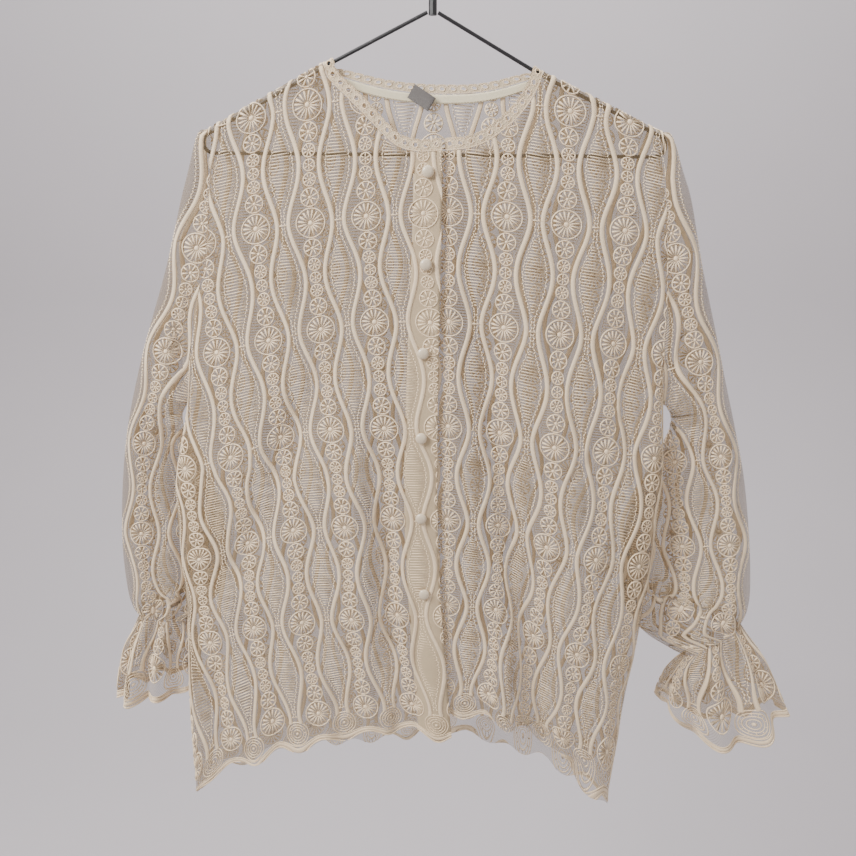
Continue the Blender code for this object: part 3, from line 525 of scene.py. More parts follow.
class Panel:
    """One body panel: where its edges run, how its cloth hangs, and what part of the cut each point is."""

    def __init__(self, inner, outer_is_right, tops, neck, hem, columns, heights, rosette_u, folds, phase,
                 sign=-1, step=0.0):
        self.inner, self.outer_is_right, self.neck, self.hem = inner, outer_is_right, neck, hem
        self.columns, self.heights, self.rosette_u = columns, heights, rosette_u
        self.folds, self.phase, self.sign, self.step = folds, phase, sign, step
        tops = np.array(tops, float)
        across = self.across_at(tops, neckline_drop(tops, neck))
        fixed, free = 3 if inner else 1, len(tops) - 2
        if inner:
            start = across[fixed - 1]
            pace = (0.985 - start) / (free - fixed + 1)
            even = [start + pace * (i - fixed + 1) for i in range(fixed, free + 1)]
        else:
            even = [0.015 + 0.97 * (i - 1) / (free - 1) for i in range(1, free + 1)]
        even = [*across[:fixed], *even, 1.0]
        self.column = np.linspace(0, len(tops) - 1, (len(tops) - 1) * COLUMN_CUTS + 1)
        self.top_x = np.interp(self.column, range(len(tops)), tops)
        self.top_drop = neckline_drop(self.top_x, neck)
        self.top_across = self.across_at(self.top_x, self.top_drop)
        self.even_across = np.interp(self.column, range(len(even)), even)
        self.lay()

    def ends_at(self, drop):
        """The x of the panel's inner and outer side edges."""
        start = spline(CENTRE_ROWS, drop) + self.inner if self.inner else edge_x(False, drop)
        return start, edge_x(self.outer_is_right, drop)

    def across_at(self, x, drop):
        """The share across the panel at an x."""
        start, end = self.ends_at(drop)
        return (x - start) / (end - start)

    def point(self, across, drop, out=0.0):
        """A point of the outer surface, moved out by a distance along Y."""
        start, end = self.ends_at(drop)
        x = start + (end - start) * across
        depth = section_depth(x, drop, 3 if self.sign < 0 else 4, self.folds, self.phase)
        if self.step:
            depth = depth - self.step * ease((spline(CENTRE_ROWS, drop) + BAND_WIDTH / 2 + 14 - x) / 12)
        return x, self.sign * (depth + out), drop

    def lay(self):
        """Finds the cloth's u at each drop and share across, from the laid columns and a section's length."""
        self.laid_drops, self.laid_across = np.arange(30.0, 806.0, 8.0), np.linspace(0, 1, 201)
        self.laid_u = []
        for drop in self.laid_drops:
            x, y, _ = self.point(self.laid_across, np.full(201, drop))
            run = np.concatenate(([0], np.cumsum(np.hypot(np.diff(x), np.diff(y)))))
            order = np.argsort(x)
            found = [np.interp(spline(rows, drop), x[order], run[order]) for _, rows in self.columns]
            marks = sorted(zip(found, (u for u, _ in self.columns)))
            lengths, places = (np.array(part, float) for part in zip(*marks))
            direction = 1 if x[-1] > x[0] else -1
            u = np.interp(run, lengths, places)
            u = np.where(run < lengths[0], places[0] - direction * (lengths[0] - run), u)
            self.laid_u.append(np.where(run > lengths[-1], places[-1] + direction * (run - lengths[-1]), u))
        self.laid_u = np.array(self.laid_u)
        hem_drop = spline(self.hem, self.laid_across)
        hem_u = self.u_at(self.laid_across, hem_drop)
        order = np.argsort(hem_u)
        self.hem_u, self.hem_drop = hem_u[order], hem_drop[order]

    def u_at(self, across, drop):
        """The cloth's u at shares across and drops."""
        row = np.clip((drop - self.laid_drops[0]) / 8, 0, len(self.laid_drops) - 1.001)
        column = np.clip(across, 0, 0.99999) * 200
        i, j = row.astype(int), column.astype(int)
        a, b = row - i, column - j
        low = self.laid_u[i, j] * (1 - b) + self.laid_u[i, j + 1] * b
        return low * (1 - a) + (self.laid_u[i + 1, j] * (1 - b) + self.laid_u[i + 1, j + 1] * b) * a

    def v_at(self, u, drop):
        """The cloth's v at a u and a drop, between the columns whose heights are known and the hem."""
        columns, rows = self.heights[0][1:], self.heights[1:]
        hems = np.interp(columns, self.hem_u, self.hem_drop)
        dense = np.linspace(0, 800, 500)
        bend = np.interp(u, self.hem_u, self.hem_drop) - np.interp(u, columns, hems)
        level = drop - bend * np.clip(1 - (np.interp(u, columns, hems) - drop) / 150, 0, 1)
        found = []
        for k, hem in enumerate(hems):
            top = (rows[-1][0] + 175, rows[-1][k + 1] - 175)
            fall = spline(((0, hem), *((row[0], row[k + 1]) for row in rows), top), dense)
            found.append(np.interp(-level, -fall, dense))
        found = np.array(found)
        place = np.clip(np.interp(u, columns, range(len(columns))), 0, len(columns) - 1.001)
        low = place.astype(int)
        pick = np.indices(low.shape)
        lower, upper = found[(low, *pick)], found[(low + 1, *pick)]
        return lower + (upper - lower) * (place - low)

    def grid(self, first=0.0, last=None, out=0.0):
        """Points and cut places for the rows and columns between two of the solid's columns."""
        body = 5 + np.arange(1, SOLID_BODY_ROWS * ROW_CUTS + 1) / ROW_CUTS
        depths = np.array(TOP_DEPTHS, float)
        rows = np.concatenate((np.interp(depths, SOLID_TOP_DEPTHS, range(6)), body))[:, None]
        last = self.column[-1] if last is None else last
        keep = (self.column >= first - 1e-6) & (self.column <= last + 1e-6)
        top_across, even_across = self.top_across[keep], self.even_across[keep]
        spread = ease(rows / (5 + SOLID_BODY_ROWS) * 1.6)
        across = top_across + (even_across - top_across) * spread
        lobes = spline(self.hem, across)
        edge = lobes - hem_notch(self.u_at(across, lobes), self.rosette_u) * ease((rows - 18) / 2)
        top = self.top_drop[keep]
        low = top + TOP_DEPTHS[-1] + (edge - top - TOP_DEPTHS[-1]) * (rows - 5) / SOLID_BODY_ROWS
        high = top + np.interp(rows, range(6), SOLID_TOP_DEPTHS)
        drop = np.where(rows <= 5, high, low)
        u = self.u_at(across, drop)
        x, y, _ = self.point(across, drop, out)
        return world(x, y, drop), np.stack((u, self.v_at(u, drop)), axis=-1) * MM

    def top_line(self, first, last):
        """The top edge between two of the solid's columns: x, y, drop."""
        keep = (self.column >= first - 1e-6) & (self.column <= last + 1e-6)
        x, y, drop = self.point(self.top_across[keep], self.top_drop[keep])
        return np.stack((x, y, drop), axis=-1)

    def edge_line(self, column):
        """The drop, x and half depth down the first or last column."""
        rows = np.linspace(self.top_drop[column], UNDERARM_DROP + 20, 60)
        across = np.full(60, self.top_across[column])
        x, y, _ = self.point(across, rows)
        return rows, x, np.abs(y)


ALL_FRONT_FOLDS = FRONT_FOLDS + FINE_FRONT_FOLDS
FRONT_RIGHT = Panel(
    BAND_WIDTH / 2, False, (*FRONT_RIGHT_COLUMNS, *RIGHT_SHOULDER), FRONT_NECK, RIGHT_HEM,
    RIGHT_COLUMNS, RIGHT_HEIGHTS, -33.0, ALL_FRONT_FOLDS, 0.6,
)
FRONT_LEFT = Panel(
    -BAND_WIDTH / 2, True, (*FRONT_LEFT_COLUMNS, *SHOULDER_COLUMNS), FRONT_NECK, LEFT_HEM,
    LEFT_COLUMNS, LEFT_HEIGHTS, 40.0, ALL_FRONT_FOLDS, 0.6, step=UNDERLAP_STEP,
)
BACK = Panel(
    0, True, (*reversed(RIGHT_SHOULDER), *BACK_COLUMNS_X, *SHOULDER_COLUMNS), BACK_NECK, BACK_HEM,
    BACK_COLUMNS, BACK_HEIGHTS, 25.0, BACK_FOLDS, 2.0, sign=1,
)


def tube_points(rows, turn, share, waves, creases=(), pleats=0.0):
    """Points of a sleeve or frill: turn runs round it from the top fold by the front, share along it."""
    keyed = [(i / (len(rows) - 1), *row) for i, row in enumerate(rows)]
    ox, oh, oy, ix, ih, iy, half_depth, sag, gather = (spline(keyed, share, c) for c in range(1, 10))
    angle = 2 * math.pi * turn
    along = (1 - np.cos(angle)) / 2
    chord = np.array((ix - ox, iy - oy, ih - oh))
    length = np.linalg.norm(chord, axis=0)
    x = ox + (ix - ox) * along
    bulge = np.copysign(np.abs(np.sin(angle)) ** SECTION_FULLNESS, np.sin(angle))
    y = oy + (iy - oy) * along - half_depth * bulge
    drop = oh + (ih - oh) * along + sag * np.sin(math.pi * along)
    lean = -np.cos(angle) / (length / 2)
    face = -np.sin(angle) / half_depth
    size = np.hypot(lean, face)
    lean, face = lean / size, face / size
    swell = gather * np.sin(2 * math.pi * waves * turn + 0.7 * np.sin(2 * math.pi * turn))
    for turn0, share0, turn1, share1, half_width, height in creases:
        run = np.clip((share - share0) / (share1 - share0), 0, 1)
        line = turn0 + (turn1 - turn0) * run
        fade = ease(run / 0.3) * ease((1 - run) / 0.3)
        swell = swell + height * fade * np.exp(-((((turn % 1) - line) / half_width) ** 2))
    swell = swell * (0.25 + 0.75 * np.abs(np.sin(angle)))
    swell = swell + pleats * np.sin(2 * math.pi * 31 * turn + 1.3 * np.sin(6 * math.pi * turn))
    x = x + swell * lean * chord[0] / length
    y = y + swell * (face + lean * chord[1] / length)
    drop = drop + swell * lean * chord[2] / length
    return x, y, drop


def armhole_points(turn, is_right_side):
    """The seam where a sleeve joins the body, round the open edges of the front and back."""
    lines = {
        1: (FRONT_LEFT if is_right_side else FRONT_RIGHT).edge_line(-1),
        -1: BACK.edge_line(-1 if is_right_side else 0),
    }
    made = []
    for t in turn:
        angle = 2 * math.pi * t
        drops, edges, depths = lines[1 if math.sin(angle) > 0 else -1]
        drop = drops[0] + (UNDERARM_DROP + 0.6 - drops[0]) * (1 - math.cos(angle)) / 2
        depth = max(np.interp(drop, drops, depths), 3.2 if drop > 200 else 0)
        side = 0 if abs(math.sin(angle)) < 1e-6 else -math.copysign(1, math.sin(angle))
        outward = 1 if is_right_side else -1
        made.append((np.interp(drop, drops, edges) + outward * (SEAM_GAP + 0.1), side * depth, drop))
    return np.array(made).T


def place_by_fold(points, middle):
    """Each point's distance from a sleeve's top fold and its length up the fold, seen side on."""
    fold = points[:, middle]
    straight = len(fold) // 6
    lead = fold[straight] + (fold[straight] - fold[2 * straight]) * np.array((3.0, 0.0))[:, None]
    tail = fold[-1] + (fold[-1] - fold[-1 - straight]) * 4
    line = np.concatenate((lead, fold[straight + 1:], tail[None]))
    start, step = line[:-1], np.diff(line, axis=0)
    length = np.linalg.norm(step, axis=1)
    before = np.concatenate(([0], np.cumsum(length)[:-1]))
    away = points.reshape(-1, 1, 2) - start
    share = np.clip(np.sum(away * step, axis=2) / length**2, 0, 1)
    gap = np.linalg.norm(away - share[:, :, None] * step, axis=2)
    near = gap.argmin(axis=1)
    pick = np.arange(len(near))
    along = length[:-1].sum() - before[near] - share[pick, near] * length[near]
    return gap[pick, near].reshape(points.shape[:2]), along.reshape(points.shape[:2])


def sleeve_grid(rows, is_right_side, columns=132, steps=150):
    """Points and cut places of a sleeve, from the armhole down, with its underarm seam at both side edges."""
    turn, share = np.linspace(-0.5, 0.5, columns + 1), np.linspace(0, 1, steps + 1)[:, None]
    join_share = 0.12
    pleats = 1.1 * ease((share - 0.8) / 0.18)
    x, y, drop = tube_points(rows, turn, share, SLEEVE_GATHERS, SLEEVE_CREASES, pleats)
    seam = armhole_points(turn, is_right_side)
    start = tube_points(rows, turn, np.zeros((1, 1)), SLEEVE_GATHERS, SLEEVE_CREASES)
    keep = np.where(share < join_share, (1 - share / join_share) ** 2, 0)
    x, y, drop = (p + (a - b) * keep for p, a, b in zip((x, y, drop), seam, start))
    points = world(x, y, drop)
    middle = columns // 2
    across, along = place_by_fold(points[:, :, (0, 2)], middle)
    round_half = np.linalg.norm(np.diff(points[:, middle:], axis=1), axis=2).sum(axis=1)
    bulge = round_half / np.linalg.norm(points[:, -1] - points[:, middle], axis=1)
    side = np.sign(turn) * ease(np.abs(np.sin(2 * math.pi * turn)) * 3 + (np.abs(turn) > 0.25))
    half = (across * bulge[:, None])[:, -1:]
    full = 1 + (np.maximum(half, 0.1) / half - 1) * ease((share - 0.6) / 0.35)
    u, v = side * across * bulge[:, None] * full, along
    return points, np.stack((u, v), axis=-1)


def frill_grid(rows, columns=288, steps=30):
    """Points and cut places of a cuff frill, from the wrist down to its scalloped edge."""
    turn, share = np.linspace(-0.5, 0.5, columns + 1), np.linspace(0, 1, steps + 1)[:, None]
    pleats = 0.9 * ease((0.25 - share) / 0.25)
    x, y, drop = tube_points(rows, turn, share, FRILL_WAVES, (), pleats)
    notch = 3.0 * (1 - np.cos(2 * math.pi * FRILL_LOBES * turn))
    drop = drop - notch * ease((share - 0.55) / 0.45)
    points = world(x, y, drop)
    length = np.linalg.norm(np.diff(points, axis=0), axis=2)
    height = np.concatenate((np.zeros((1, columns + 1)), np.cumsum(length, axis=0)))
    v = (height[-1].mean() - height.mean(axis=1))[:, None] + 1.5 * MM * notch * ease((share - 0.55) / 0.45)
    u = np.broadcast_to(turn * REPEAT_WIDTH * FRILL_LOBES * MM, v.shape)
    return points, np.stack((u, v), axis=-1)


def read(items, attribute, width):
    """An attribute of a mesh's items as an array."""
    values = np.zeros(len(items) * width, np.float32)
    items.foreach_get(attribute, values)
    return values.reshape(-1, width).astype(float)


def add_piece(name, mesh, material, slot):
    """Links a finished mesh to the scene as a piece that rides on the hanger's body."""
    mesh.materials.append(material)
    mesh.shade_smooth()
    made = bpy.data.objects.new(name, mesh)
    bpy.context.scene.collection.objects.link(made)
    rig.ride(made, "root")
    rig.slot(made, slot)
    return made


def set_flat(mesh, flat):
    """Keeps each point's place in the cut as the mesh's UV map; flat has one row for each vertex."""
    corners = np.zeros(len(mesh.loops), np.int32)
    mesh.loops.foreach_get("vertex_index", corners)
    layer = mesh.uv_layers.new(name="cut")
    layer.data.foreach_set("uv", flat[corners].astype(np.float32).ravel())


def sheet_mesh(name, points, flat, outward):
    """A sheet's mesh from rows and columns of points.

    Its faces turn along outward if that is one direction, or away from it if it has a point for each row.
    """
    rows, columns = points.shape[0] - 1, points.shape[1] - 1
    bm = bmesh.new()
    bmesh.ops.create_grid(bm, x_segments=columns, y_segments=rows, size=0.5)
    mesh = bpy.data.meshes.new(name)
    bm.to_mesh(mesh)
    bm.free()
    unit = read(mesh.vertices, "co", 3)
    column = np.rint((unit[:, 0] + 0.5) * columns).astype(int)
    row = np.rint((unit[:, 1] + 0.5) * rows).astype(int)
    mesh.vertices.foreach_set("co", points[row, column].astype(np.float32).ravel())
    set_flat(mesh, flat[row, column])
    mesh.update()
    centres, normals = read(mesh.polygons, "center", 3), read(mesh.polygons, "normal", 3)
    if np.ndim(outward) == 2:
        outward = centres - outward[row[[face.vertices[0] for face in mesh.polygons]]]
    if np.sum(normals * outward) < 0:
        mesh.flip_normals()
    return mesh


def weld(mesh):
    """Joins a rolled sheet's long edges."""
    bm = bmesh.new()
    bm.from_mesh(mesh)
    bmesh.ops.remove_doubles(bm, verts=bm.verts, dist=1e-6)
    bm.to_mesh(mesh)
    bm.free()


class Laid:
    """A net laid flat, to find where a place in its cut hangs."""

    def __init__(self, mesh):
        mesh.calc_loop_triangles()
        corners = read(mesh.loop_triangles, "vertices", 3).astype(int)
        loops = read(mesh.loop_triangles, "loops", 3).astype(int)
        self.flat = read(mesh.uv_layers["cut"].data, "uv", 2)[loops]
        self.points = read(mesh.vertices, "co", 3)[corners]
        self.normals = read(mesh.vertex_normals, "vector", 3)[corners]
        places = np.pad(self.flat.reshape(-1, 2), ((0, 0), (0, 1)))
        self.tree = BVHTree.FromPolygons(places.tolist(), np.arange(len(places)).reshape(-1, 3).tolist())

    def hang(self, places):
        """Points in space for rows of u, v and height in metres, and each one's distance outside the cut."""
        found = [self.tree.find_nearest((u, v, 0)) for u, v, _ in places.tolist()]
        index = np.array([f[2] for f in found])
        spot = np.array([f[0][:2] for f in found])
        outside = np.array([f[3] for f in found])
        a, b, c = (self.flat[index, k] for k in range(3))
        ab, ac, ap = b - a, c - a, spot - a
        area = ab[:, 0] * ac[:, 1] - ab[:, 1] * ac[:, 0]
        area = np.where(np.abs(area) < 1e-14, 1e-14, area)
        s = np.clip((ap[:, 0] * ac[:, 1] - ap[:, 1] * ac[:, 0]) / area, 0, 1)
        t = np.clip((ab[:, 0] * ap[:, 1] - ab[:, 1] * ap[:, 0]) / area, 0, 1)
        weights = np.stack((1 - s - t, s, t), axis=-1)[:, :, None]
        normal = np.sum(self.normals[index] * weights, axis=1)
        normal /= np.maximum(np.linalg.norm(normal, axis=1, keepdims=True), 1e-9)
        return np.sum(self.points[index] * weights, axis=1) + normal * places[:, 2:3], outside


def disc(bm, u, v, radius, height, sides):
    """A low cone with a flat top."""
    bmesh.ops.create_cone(
        bm, cap_ends=True, segments=sides, radius1=radius, radius2=radius * 0.6, depth=height,
        matrix=Matrix.Translation((u, v, height / 2 - 0.2)),
    )


def bar(bm, start, end, width, tip_width, height=0.5):
    """A stitch with its own width at its start and at its end, which stands out of both faces of the net."""
    a, b = Vector((*start, 0.1)), Vector((*end, 0.1))
    along = (b - a).normalized()
    turn = Matrix((along.cross(Vector((0, 0, 1))), Vector((0, 0, 1)), -along)).transposed().to_4x4()
    place = Matrix.Translation((a + b) / 2) @ turn @ Matrix.Diagonal((1, height / width, 1, 1))
    bmesh.ops.create_cone(
        bm, cap_ends=tip_width > 0, segments=STITCH_SIDES, radius1=tip_width / 2 + 1e-4, radius2=width / 2,
        depth=(b - a).length, matrix=place,
    )


def ring(bm, u, v, radius, width, steps, height=0.7):
    """A closed corded ring of three-sided section."""
    profile = ((radius - width / 2, -0.2), (radius, height), (radius + width / 2, -0.2))
    points = [bm.verts.new((u + r, v, z)) for r, z in profile]
    edges = [bm.edges.new((points[i], points[(i + 1) % 3])) for i in range(3)]
    bmesh.ops.spin(
        bm, geom=points + edges, axis=(0, 0, 1), cent=(u, v, 0), angle=2 * math.pi, steps=steps,
        use_merge=True,
    )


def cord(bm, path, half_width, height):
    """A satin cord along a path of u and v, flat below and domed above."""
    path = np.array(path, float)
    tangent = np.gradient(path, axis=0)
    tangent /= np.linalg.norm(tangent, axis=1, keepdims=True)
    made = bmesh.ops.create_grid(bm, x_segments=CORD_SIDES, y_segments=len(path) - 1, size=0.5)["verts"]
    for vert in made:
        k = round((vert.co.y + 0.5) * (len(path) - 1))
        angle = 2 * math.pi * (round((vert.co.x + 0.5) * CORD_SIDES) % CORD_SIDES) / CORD_SIDES
        across = half_width * math.cos(angle)
        lift = height * math.sin(angle) * (1.0 if math.sin(angle) > 0 else 0.45)
        u = path[k, 0] + tangent[k, 1] * across
        v = path[k, 1] - tangent[k, 0] * across
        vert.co = (u, v, lift + 0.1)
    for face in {face for vert in made for face in vert.link_faces}:
        face.material_index = 1
    bmesh.ops.remove_doubles(bm, verts=made, dist=1e-5)


def wheel(bm, u, v, radius, spokes, steps):
    """An embroidered wheel: a ring, petals and a hub."""
    ring(bm, u, v, radius - 0.7, 1.5, steps, 0.9)
    disc(bm, u, v, radius * 0.2, 0.9, 7)
    for i in range(spokes):
        angle = 2 * math.pi * (i + 0.5) / spokes
        c, s = math.cos(angle), math.sin(angle)
        inner, outer = radius * 0.18, radius * 0.84
        width = min(2.9, radius * 0.36)
        bar(bm, (u + inner * c, v + inner * s), (u + outer * c, v + outer * s), 1.2, width, 0.8)


def cord_offset(v, look):
    """Distance of a satin cord from the spindle's middle line."""
    swing = 0.5 - 0.5 * math.cos(2 * math.pi * v / look.repeat_height)
    return look.pinch_offset + (look.swell_offset - look.pinch_offset) * swing**0.9


def repeat_unit(look):
    """One repeat: the wheel column over its big wheel at the origin, and the spindle beside it."""
    bm = bmesh.new()
    height, middle = look.repeat_height, look.repeat_width / 2
    wheel(bm, 0, 0, look.wheel_radius, WHEEL_SPOKES, 26)
    for share, radius, spokes in SMALL_WHEELS:
        wheel(bm, 0, height * share, radius, spokes, 14)
    heights = np.linspace(0, height, 29)
    for side in (-1, 1):
        cord(bm, [(middle + side * cord_offset(v, look), v) for v in heights], look.cord_width / 2, 0.95)
        chain = [(v, cord_offset(v, look) - 5.6) for v in np.arange(1.5, height - 1, CHAIN_PITCH)]
        for i, (v, offset) in enumerate(chain):
            tilt = 0.55 if i % 2 else -0.55
            spread = max(offset, 1.3)
            low, high = middle + side * (spread - tilt), middle + side * (spread + tilt)
            bar(bm, (low, v - 1.15), (high, v + 1.15), 1.7, 0, 0.9)
    for v in np.arange(17, height - 16, RUNG_PITCH):
        reach = cord_offset(v, look) - 6.9
        bar(bm, (middle - reach, v + 0.25), (middle + reach, v - 0.25), 1.1, 1.1, 0.6)
    bar(bm, (middle - look.pinch_offset, 0), (middle + look.pinch_offset, 0), 1.5, 1.5, 0.8)
    return bm


def hem_unit(look, rise):
    """One repeat between the lowest wheels and the scalloped edge; v = 0 is the lobe's lowest point."""
    bm = bmesh.new()
    middle, centre = look.repeat_width / 2, rise - ROSETTE_FALL
    for radius, width in ROSETTE_RINGS:
        ring(bm, middle, centre, radius, width, 24 if radius > 6 else 14)
    disc(bm, middle, centre, 1.7, 0.8, 6)
    for i in range(12):
        c, s = math.cos(math.tau * i / 12), math.sin(math.tau * i / 12)
        bar(bm, (middle + 7.4 * c, centre + 7.4 * s), (middle + 9.0 * c, centre + 9.0 * s), 0.8, 0.8, 0.4)
    for side in (-1, 1):
        path = [(middle + side * cord_offset(v, look), rise + v) for v in (-6.5, -4, -2, 0)]
        cord(bm, path, look.cord_width / 2, 0.9)
    across = np.linspace(0, look.repeat_width, 33)
    for inset, half_width, lift in BORDER_CORDS:
        lobe = LOBE_DEPTH * (1 - 0.03 * inset)
        path = [(u, inset + lobe * 0.5 * (1 + math.cos(math.tau * u / look.repeat_width))) for u in across]
        cord(bm, path, half_width, lift)
    return bm


def tiled(unit, first_u, first_v, count_u, count_v, look):
    """Arrays a unit over the flat cut."""
    mesh = bpy.data.meshes.new("unit")
    unit.to_mesh(mesh)
    unit.free()
    holder = bpy.data.objects.new("unit", mesh)
    bpy.context.scene.collection.objects.link(holder)
    for count, offset in ((count_u, (look.repeat_width, 0, 0)), (count_v, (0, look.repeat_height, 0))):
        array = holder.modifiers.new("array", "ARRAY")
        array.count = count
        array.use_relative_offset = False
        array.use_constant_offset = True
        array.constant_offset_displace = offset
    bpy.context.view_layer.update()
    made = bpy.data.meshes.new_from_object(holder.evaluated_get(bpy.context.evaluated_depsgraph_get()))
    bpy.data.objects.remove(holder)
    made.transform(Matrix.Translation((first_u, first_v, 0)))
    return made


def embroider(name, laid, wheel_u, rise, with_hem=True):
    """Covers a laid net with the repeat, and its scalloped edge with the border."""
    look = bpy.context.scene.blouse_embroidery
    low, high = laid.flat.reshape(-1, 2).min(0) / MM, laid.flat.reshape(-1, 2).max(0) / MM
    first = math.floor((low[0] - wheel_u) / look.repeat_width) - 1
    last = math.ceil((high[0] - wheel_u) / look.repeat_width)
    rows = math.ceil((high[1] - rise) / look.repeat_height)
    start = 0 if with_hem else math.floor((low[1] - rise) / look.repeat_height)
    begin, count = wheel_u + first * look.repeat_width, last - first + 1
    parts = [tiled(repeat_unit(look), begin, rise + start * look.repeat_height, count, rows - start, look)]
    if with_hem:
        parts.append(tiled(hem_unit(look, rise), begin, 0, count, 1, look))
    return lay_on(name, parts, laid, "satin", "lace")


def lay_on(name, parts, laid, finish_name, slot):
    """Hangs flat meshes, in millimetres, on a laid sheet, and drops what lies outside its cut."""
    bm = bmesh.new()
    for part in parts:
        bm.from_mesh(part)
        bpy.data.meshes.remove(part)
    bmesh.ops.scale(bm, verts=bm.verts, vec=(MM, MM, MM))
    mesh = bpy.data.meshes.new(name)
    bm.to_mesh(mesh)
    flat = read(mesh.vertices, "co", 3)
    points, outside = laid.hang(flat)
    bm.verts.ensure_lookup_table()
    lost = [f for f in bm.faces if all(outside[v.index] > 2e-5 for v in f.verts)]
    cut = bm.verts.layers.float_vector.new("cut")
    for vert, place, point in zip(bm.verts, flat.tolist(), points.tolist()):
        vert[cut] = place
        vert.co = point
    bmesh.ops.delete(bm, geom=lost, context="FACES")
    bm.to_mesh(mesh)
    bm.free()
    places = read(mesh.attributes["cut"].data, "vector", 3)
    mesh.attributes.remove(mesh.attributes["cut"])
    set_flat(mesh, places[:, :2])
    made = add_piece(name, mesh, finish(finish_name), slot)
    if finish_name == "satin":
        mesh.materials.append(finish("cord"))
    return made


def row_of(unit, pitch, count):
    """A flat mesh of a unit repeated along u."""
    mesh = bpy.data.meshes.new("row")
    unit.to_mesh(mesh)
    unit.free()
    bm = bmesh.new()
    for _ in range(count):
        bm.from_mesh(mesh)
        bmesh.ops.translate(bm, verts=bm.verts, vec=(pitch, 0, 0))
    bmesh.ops.translate(bm, verts=bm.verts, vec=(-pitch, 0, 0))
    bm.to_mesh(mesh)
    bm.free()
    return mesh


class Value:
    """A number's socket in a material's nodes, for shader maths written as expressions."""

    def __init__(self, shader, socket):
        self.shader, self.socket = shader, socket

    def maths(self, operation, *others):
        """The result of a Math node on this number and the others."""
        return self.shader.node("ShaderNodeMath", {"operation": operation}, (self, *others))[0]

    def __add__(self, other):
        return self.maths("ADD", other)

    def __sub__(self, other):
        return self.maths("SUBTRACT", other)

    def __rsub__(self, other):
        return (self * -1) + other

    def __mul__(self, other):
        return self.maths("MULTIPLY", other)

    __radd__ = __add__
    __rmul__ = __mul__

    def sin(self):
        """The sine of this number."""
        return self.maths("SINE")

    def abs(self):
        """This number without its sign."""
        return self.maths("ABSOLUTE")

    def step(self, low, high):
        """0 below low, 1 above high, and smooth between."""
        inputs = {"Value": self, "From Min": low, "From Max": high}
        return self.shader.node("ShaderNodeMapRange", {"interpolation_type": "SMOOTHSTEP"}, inputs)[0]


class Shader:
    """A new material, and the one way in which its nodes are made."""

    def __init__(self, name):
        self.material = bpy.data.materials.new(name)
        self.material.use_nodes = True
        self.tree = self.material.node_tree
        self.tree.nodes.clear()

    def node(self, kind, settings=None, inputs=None):
        """Makes a node from its settings and its sockets' values or links, and returns its outputs."""
        made = self.tree.nodes.new(kind)
        for key, value in (settings or {}).items():
            setattr(made, key, value)
        pairs = inputs.items() if isinstance(inputs, dict) else enumerate(inputs or ())
        for key, value in pairs:
            if isinstance(value, Value):
                self.tree.links.new(value.socket, made.inputs[key])
            else:
                made.inputs[key].default_value = value
        return [Value(self, socket) for socket in made.outputs]

    def place(self, name="ShaderNodeUVMap"):
        """The piece's cut in metres, or its Object coordinates, as a vector and as three numbers."""
        if name == "ShaderNodeUVMap":
            vector = self.node(name, {"uv_map": "cut"})[0]
        else:
            vector = self.node("ShaderNodeTexCoord")[3]
        return [vector, *self.node("ShaderNodeSeparateXYZ", None, (vector,))[:3]]

    def noise(self, vector, scale, detail=2.0):
        """A soft noise from 0 to 1."""
        return self.node("ShaderNodeTexNoise", None, {"Vector": vector, "Scale": scale, "Detail": detail})[0]

    def mix(self, factor, first, second):
        """A blend of two colours, each a tuple or a link."""
        inputs = {0: factor, 6: first, 7: second}
        inputs = {k: (*v, 1) if isinstance(v, tuple) and len(v) == 3 else v for k, v in inputs.items()}
        return self.node("ShaderNodeMix", {"data_type": "RGBA"}, inputs)[2]

    def bump(self, height, distance, strength):
        """A normal from a height."""
        inputs = {"Height": height, "Distance": distance, "Strength": strength}
        return self.node("ShaderNodeBump", None, inputs)[0]

    def finish(self, **sockets):
        """Ends the material in a Principled shader; a socket's name has its spaces as underscores."""
        named = {key.replace("_", " "): value for key, value in sockets.items()}
        named = {k: (*v, 1) if isinstance(v, tuple) and len(v) == 3 else v for k, v in named.items()}
        shader = self.node("ShaderNodeBsdfPrincipled", None, named)[0]
        self.node("ShaderNodeOutputMaterial", None, (shader,))
        return self.material


def net_finish(look):
    """Sheer net: a fine diamond mesh of thread that lets what lies behind show through."""
    shader = Shader("net")
    vector, u, v, _ = shader.place()
    pitch = look.mesh_pitch
    first = ((u + v * 0.6) * (math.pi / pitch)).sin().abs()
    second = ((u - v * 0.6) * (math.pi / pitch)).sin().abs()
    thread = 1 - first.maths("MINIMUM", second).step(0.1, 0.55)
    cloud = shader.noise(vector, 22.0)
    cover = thread * 0.3 + look.net_cover - 0.12 + (cloud - 0.5) * 0.12
    # The net's colour is partly the thread's own tone and partly painted shade: it is darkened to stand in for a
    # shadowed wall right behind the blouse, seen through the net.
    colour = shader.mix(cloud, tuple(look.net_and_shade_colour), tuple(c * 0.9 for c in look.net_and_shade_colour))
    return shader.finish(Base_Color=colour, Roughness=0.85, Alpha=cover, Sheen_Weight=0.2)


def satin_finish(name, base):
    """Satin stitches lying across the thread's run, a little shiny."""
    shader = Shader(name)
    vector, _, v, _ = shader.place()
    stitches = (v * (2 * math.pi / 0.0007)).sin() * 0.5 + 0.5
    cloud = shader.noise(vector, 60.0)
    colour = shader.mix(cloud, tuple(base), tuple(c * 0.86 for c in base))
    bump = shader.bump(stitches + cloud * 0.6, 0.00018, 0.7)
    return shader.finish(Base_Color=colour, Roughness=0.5, Normal=bump, Sheen_Weight=0.25)


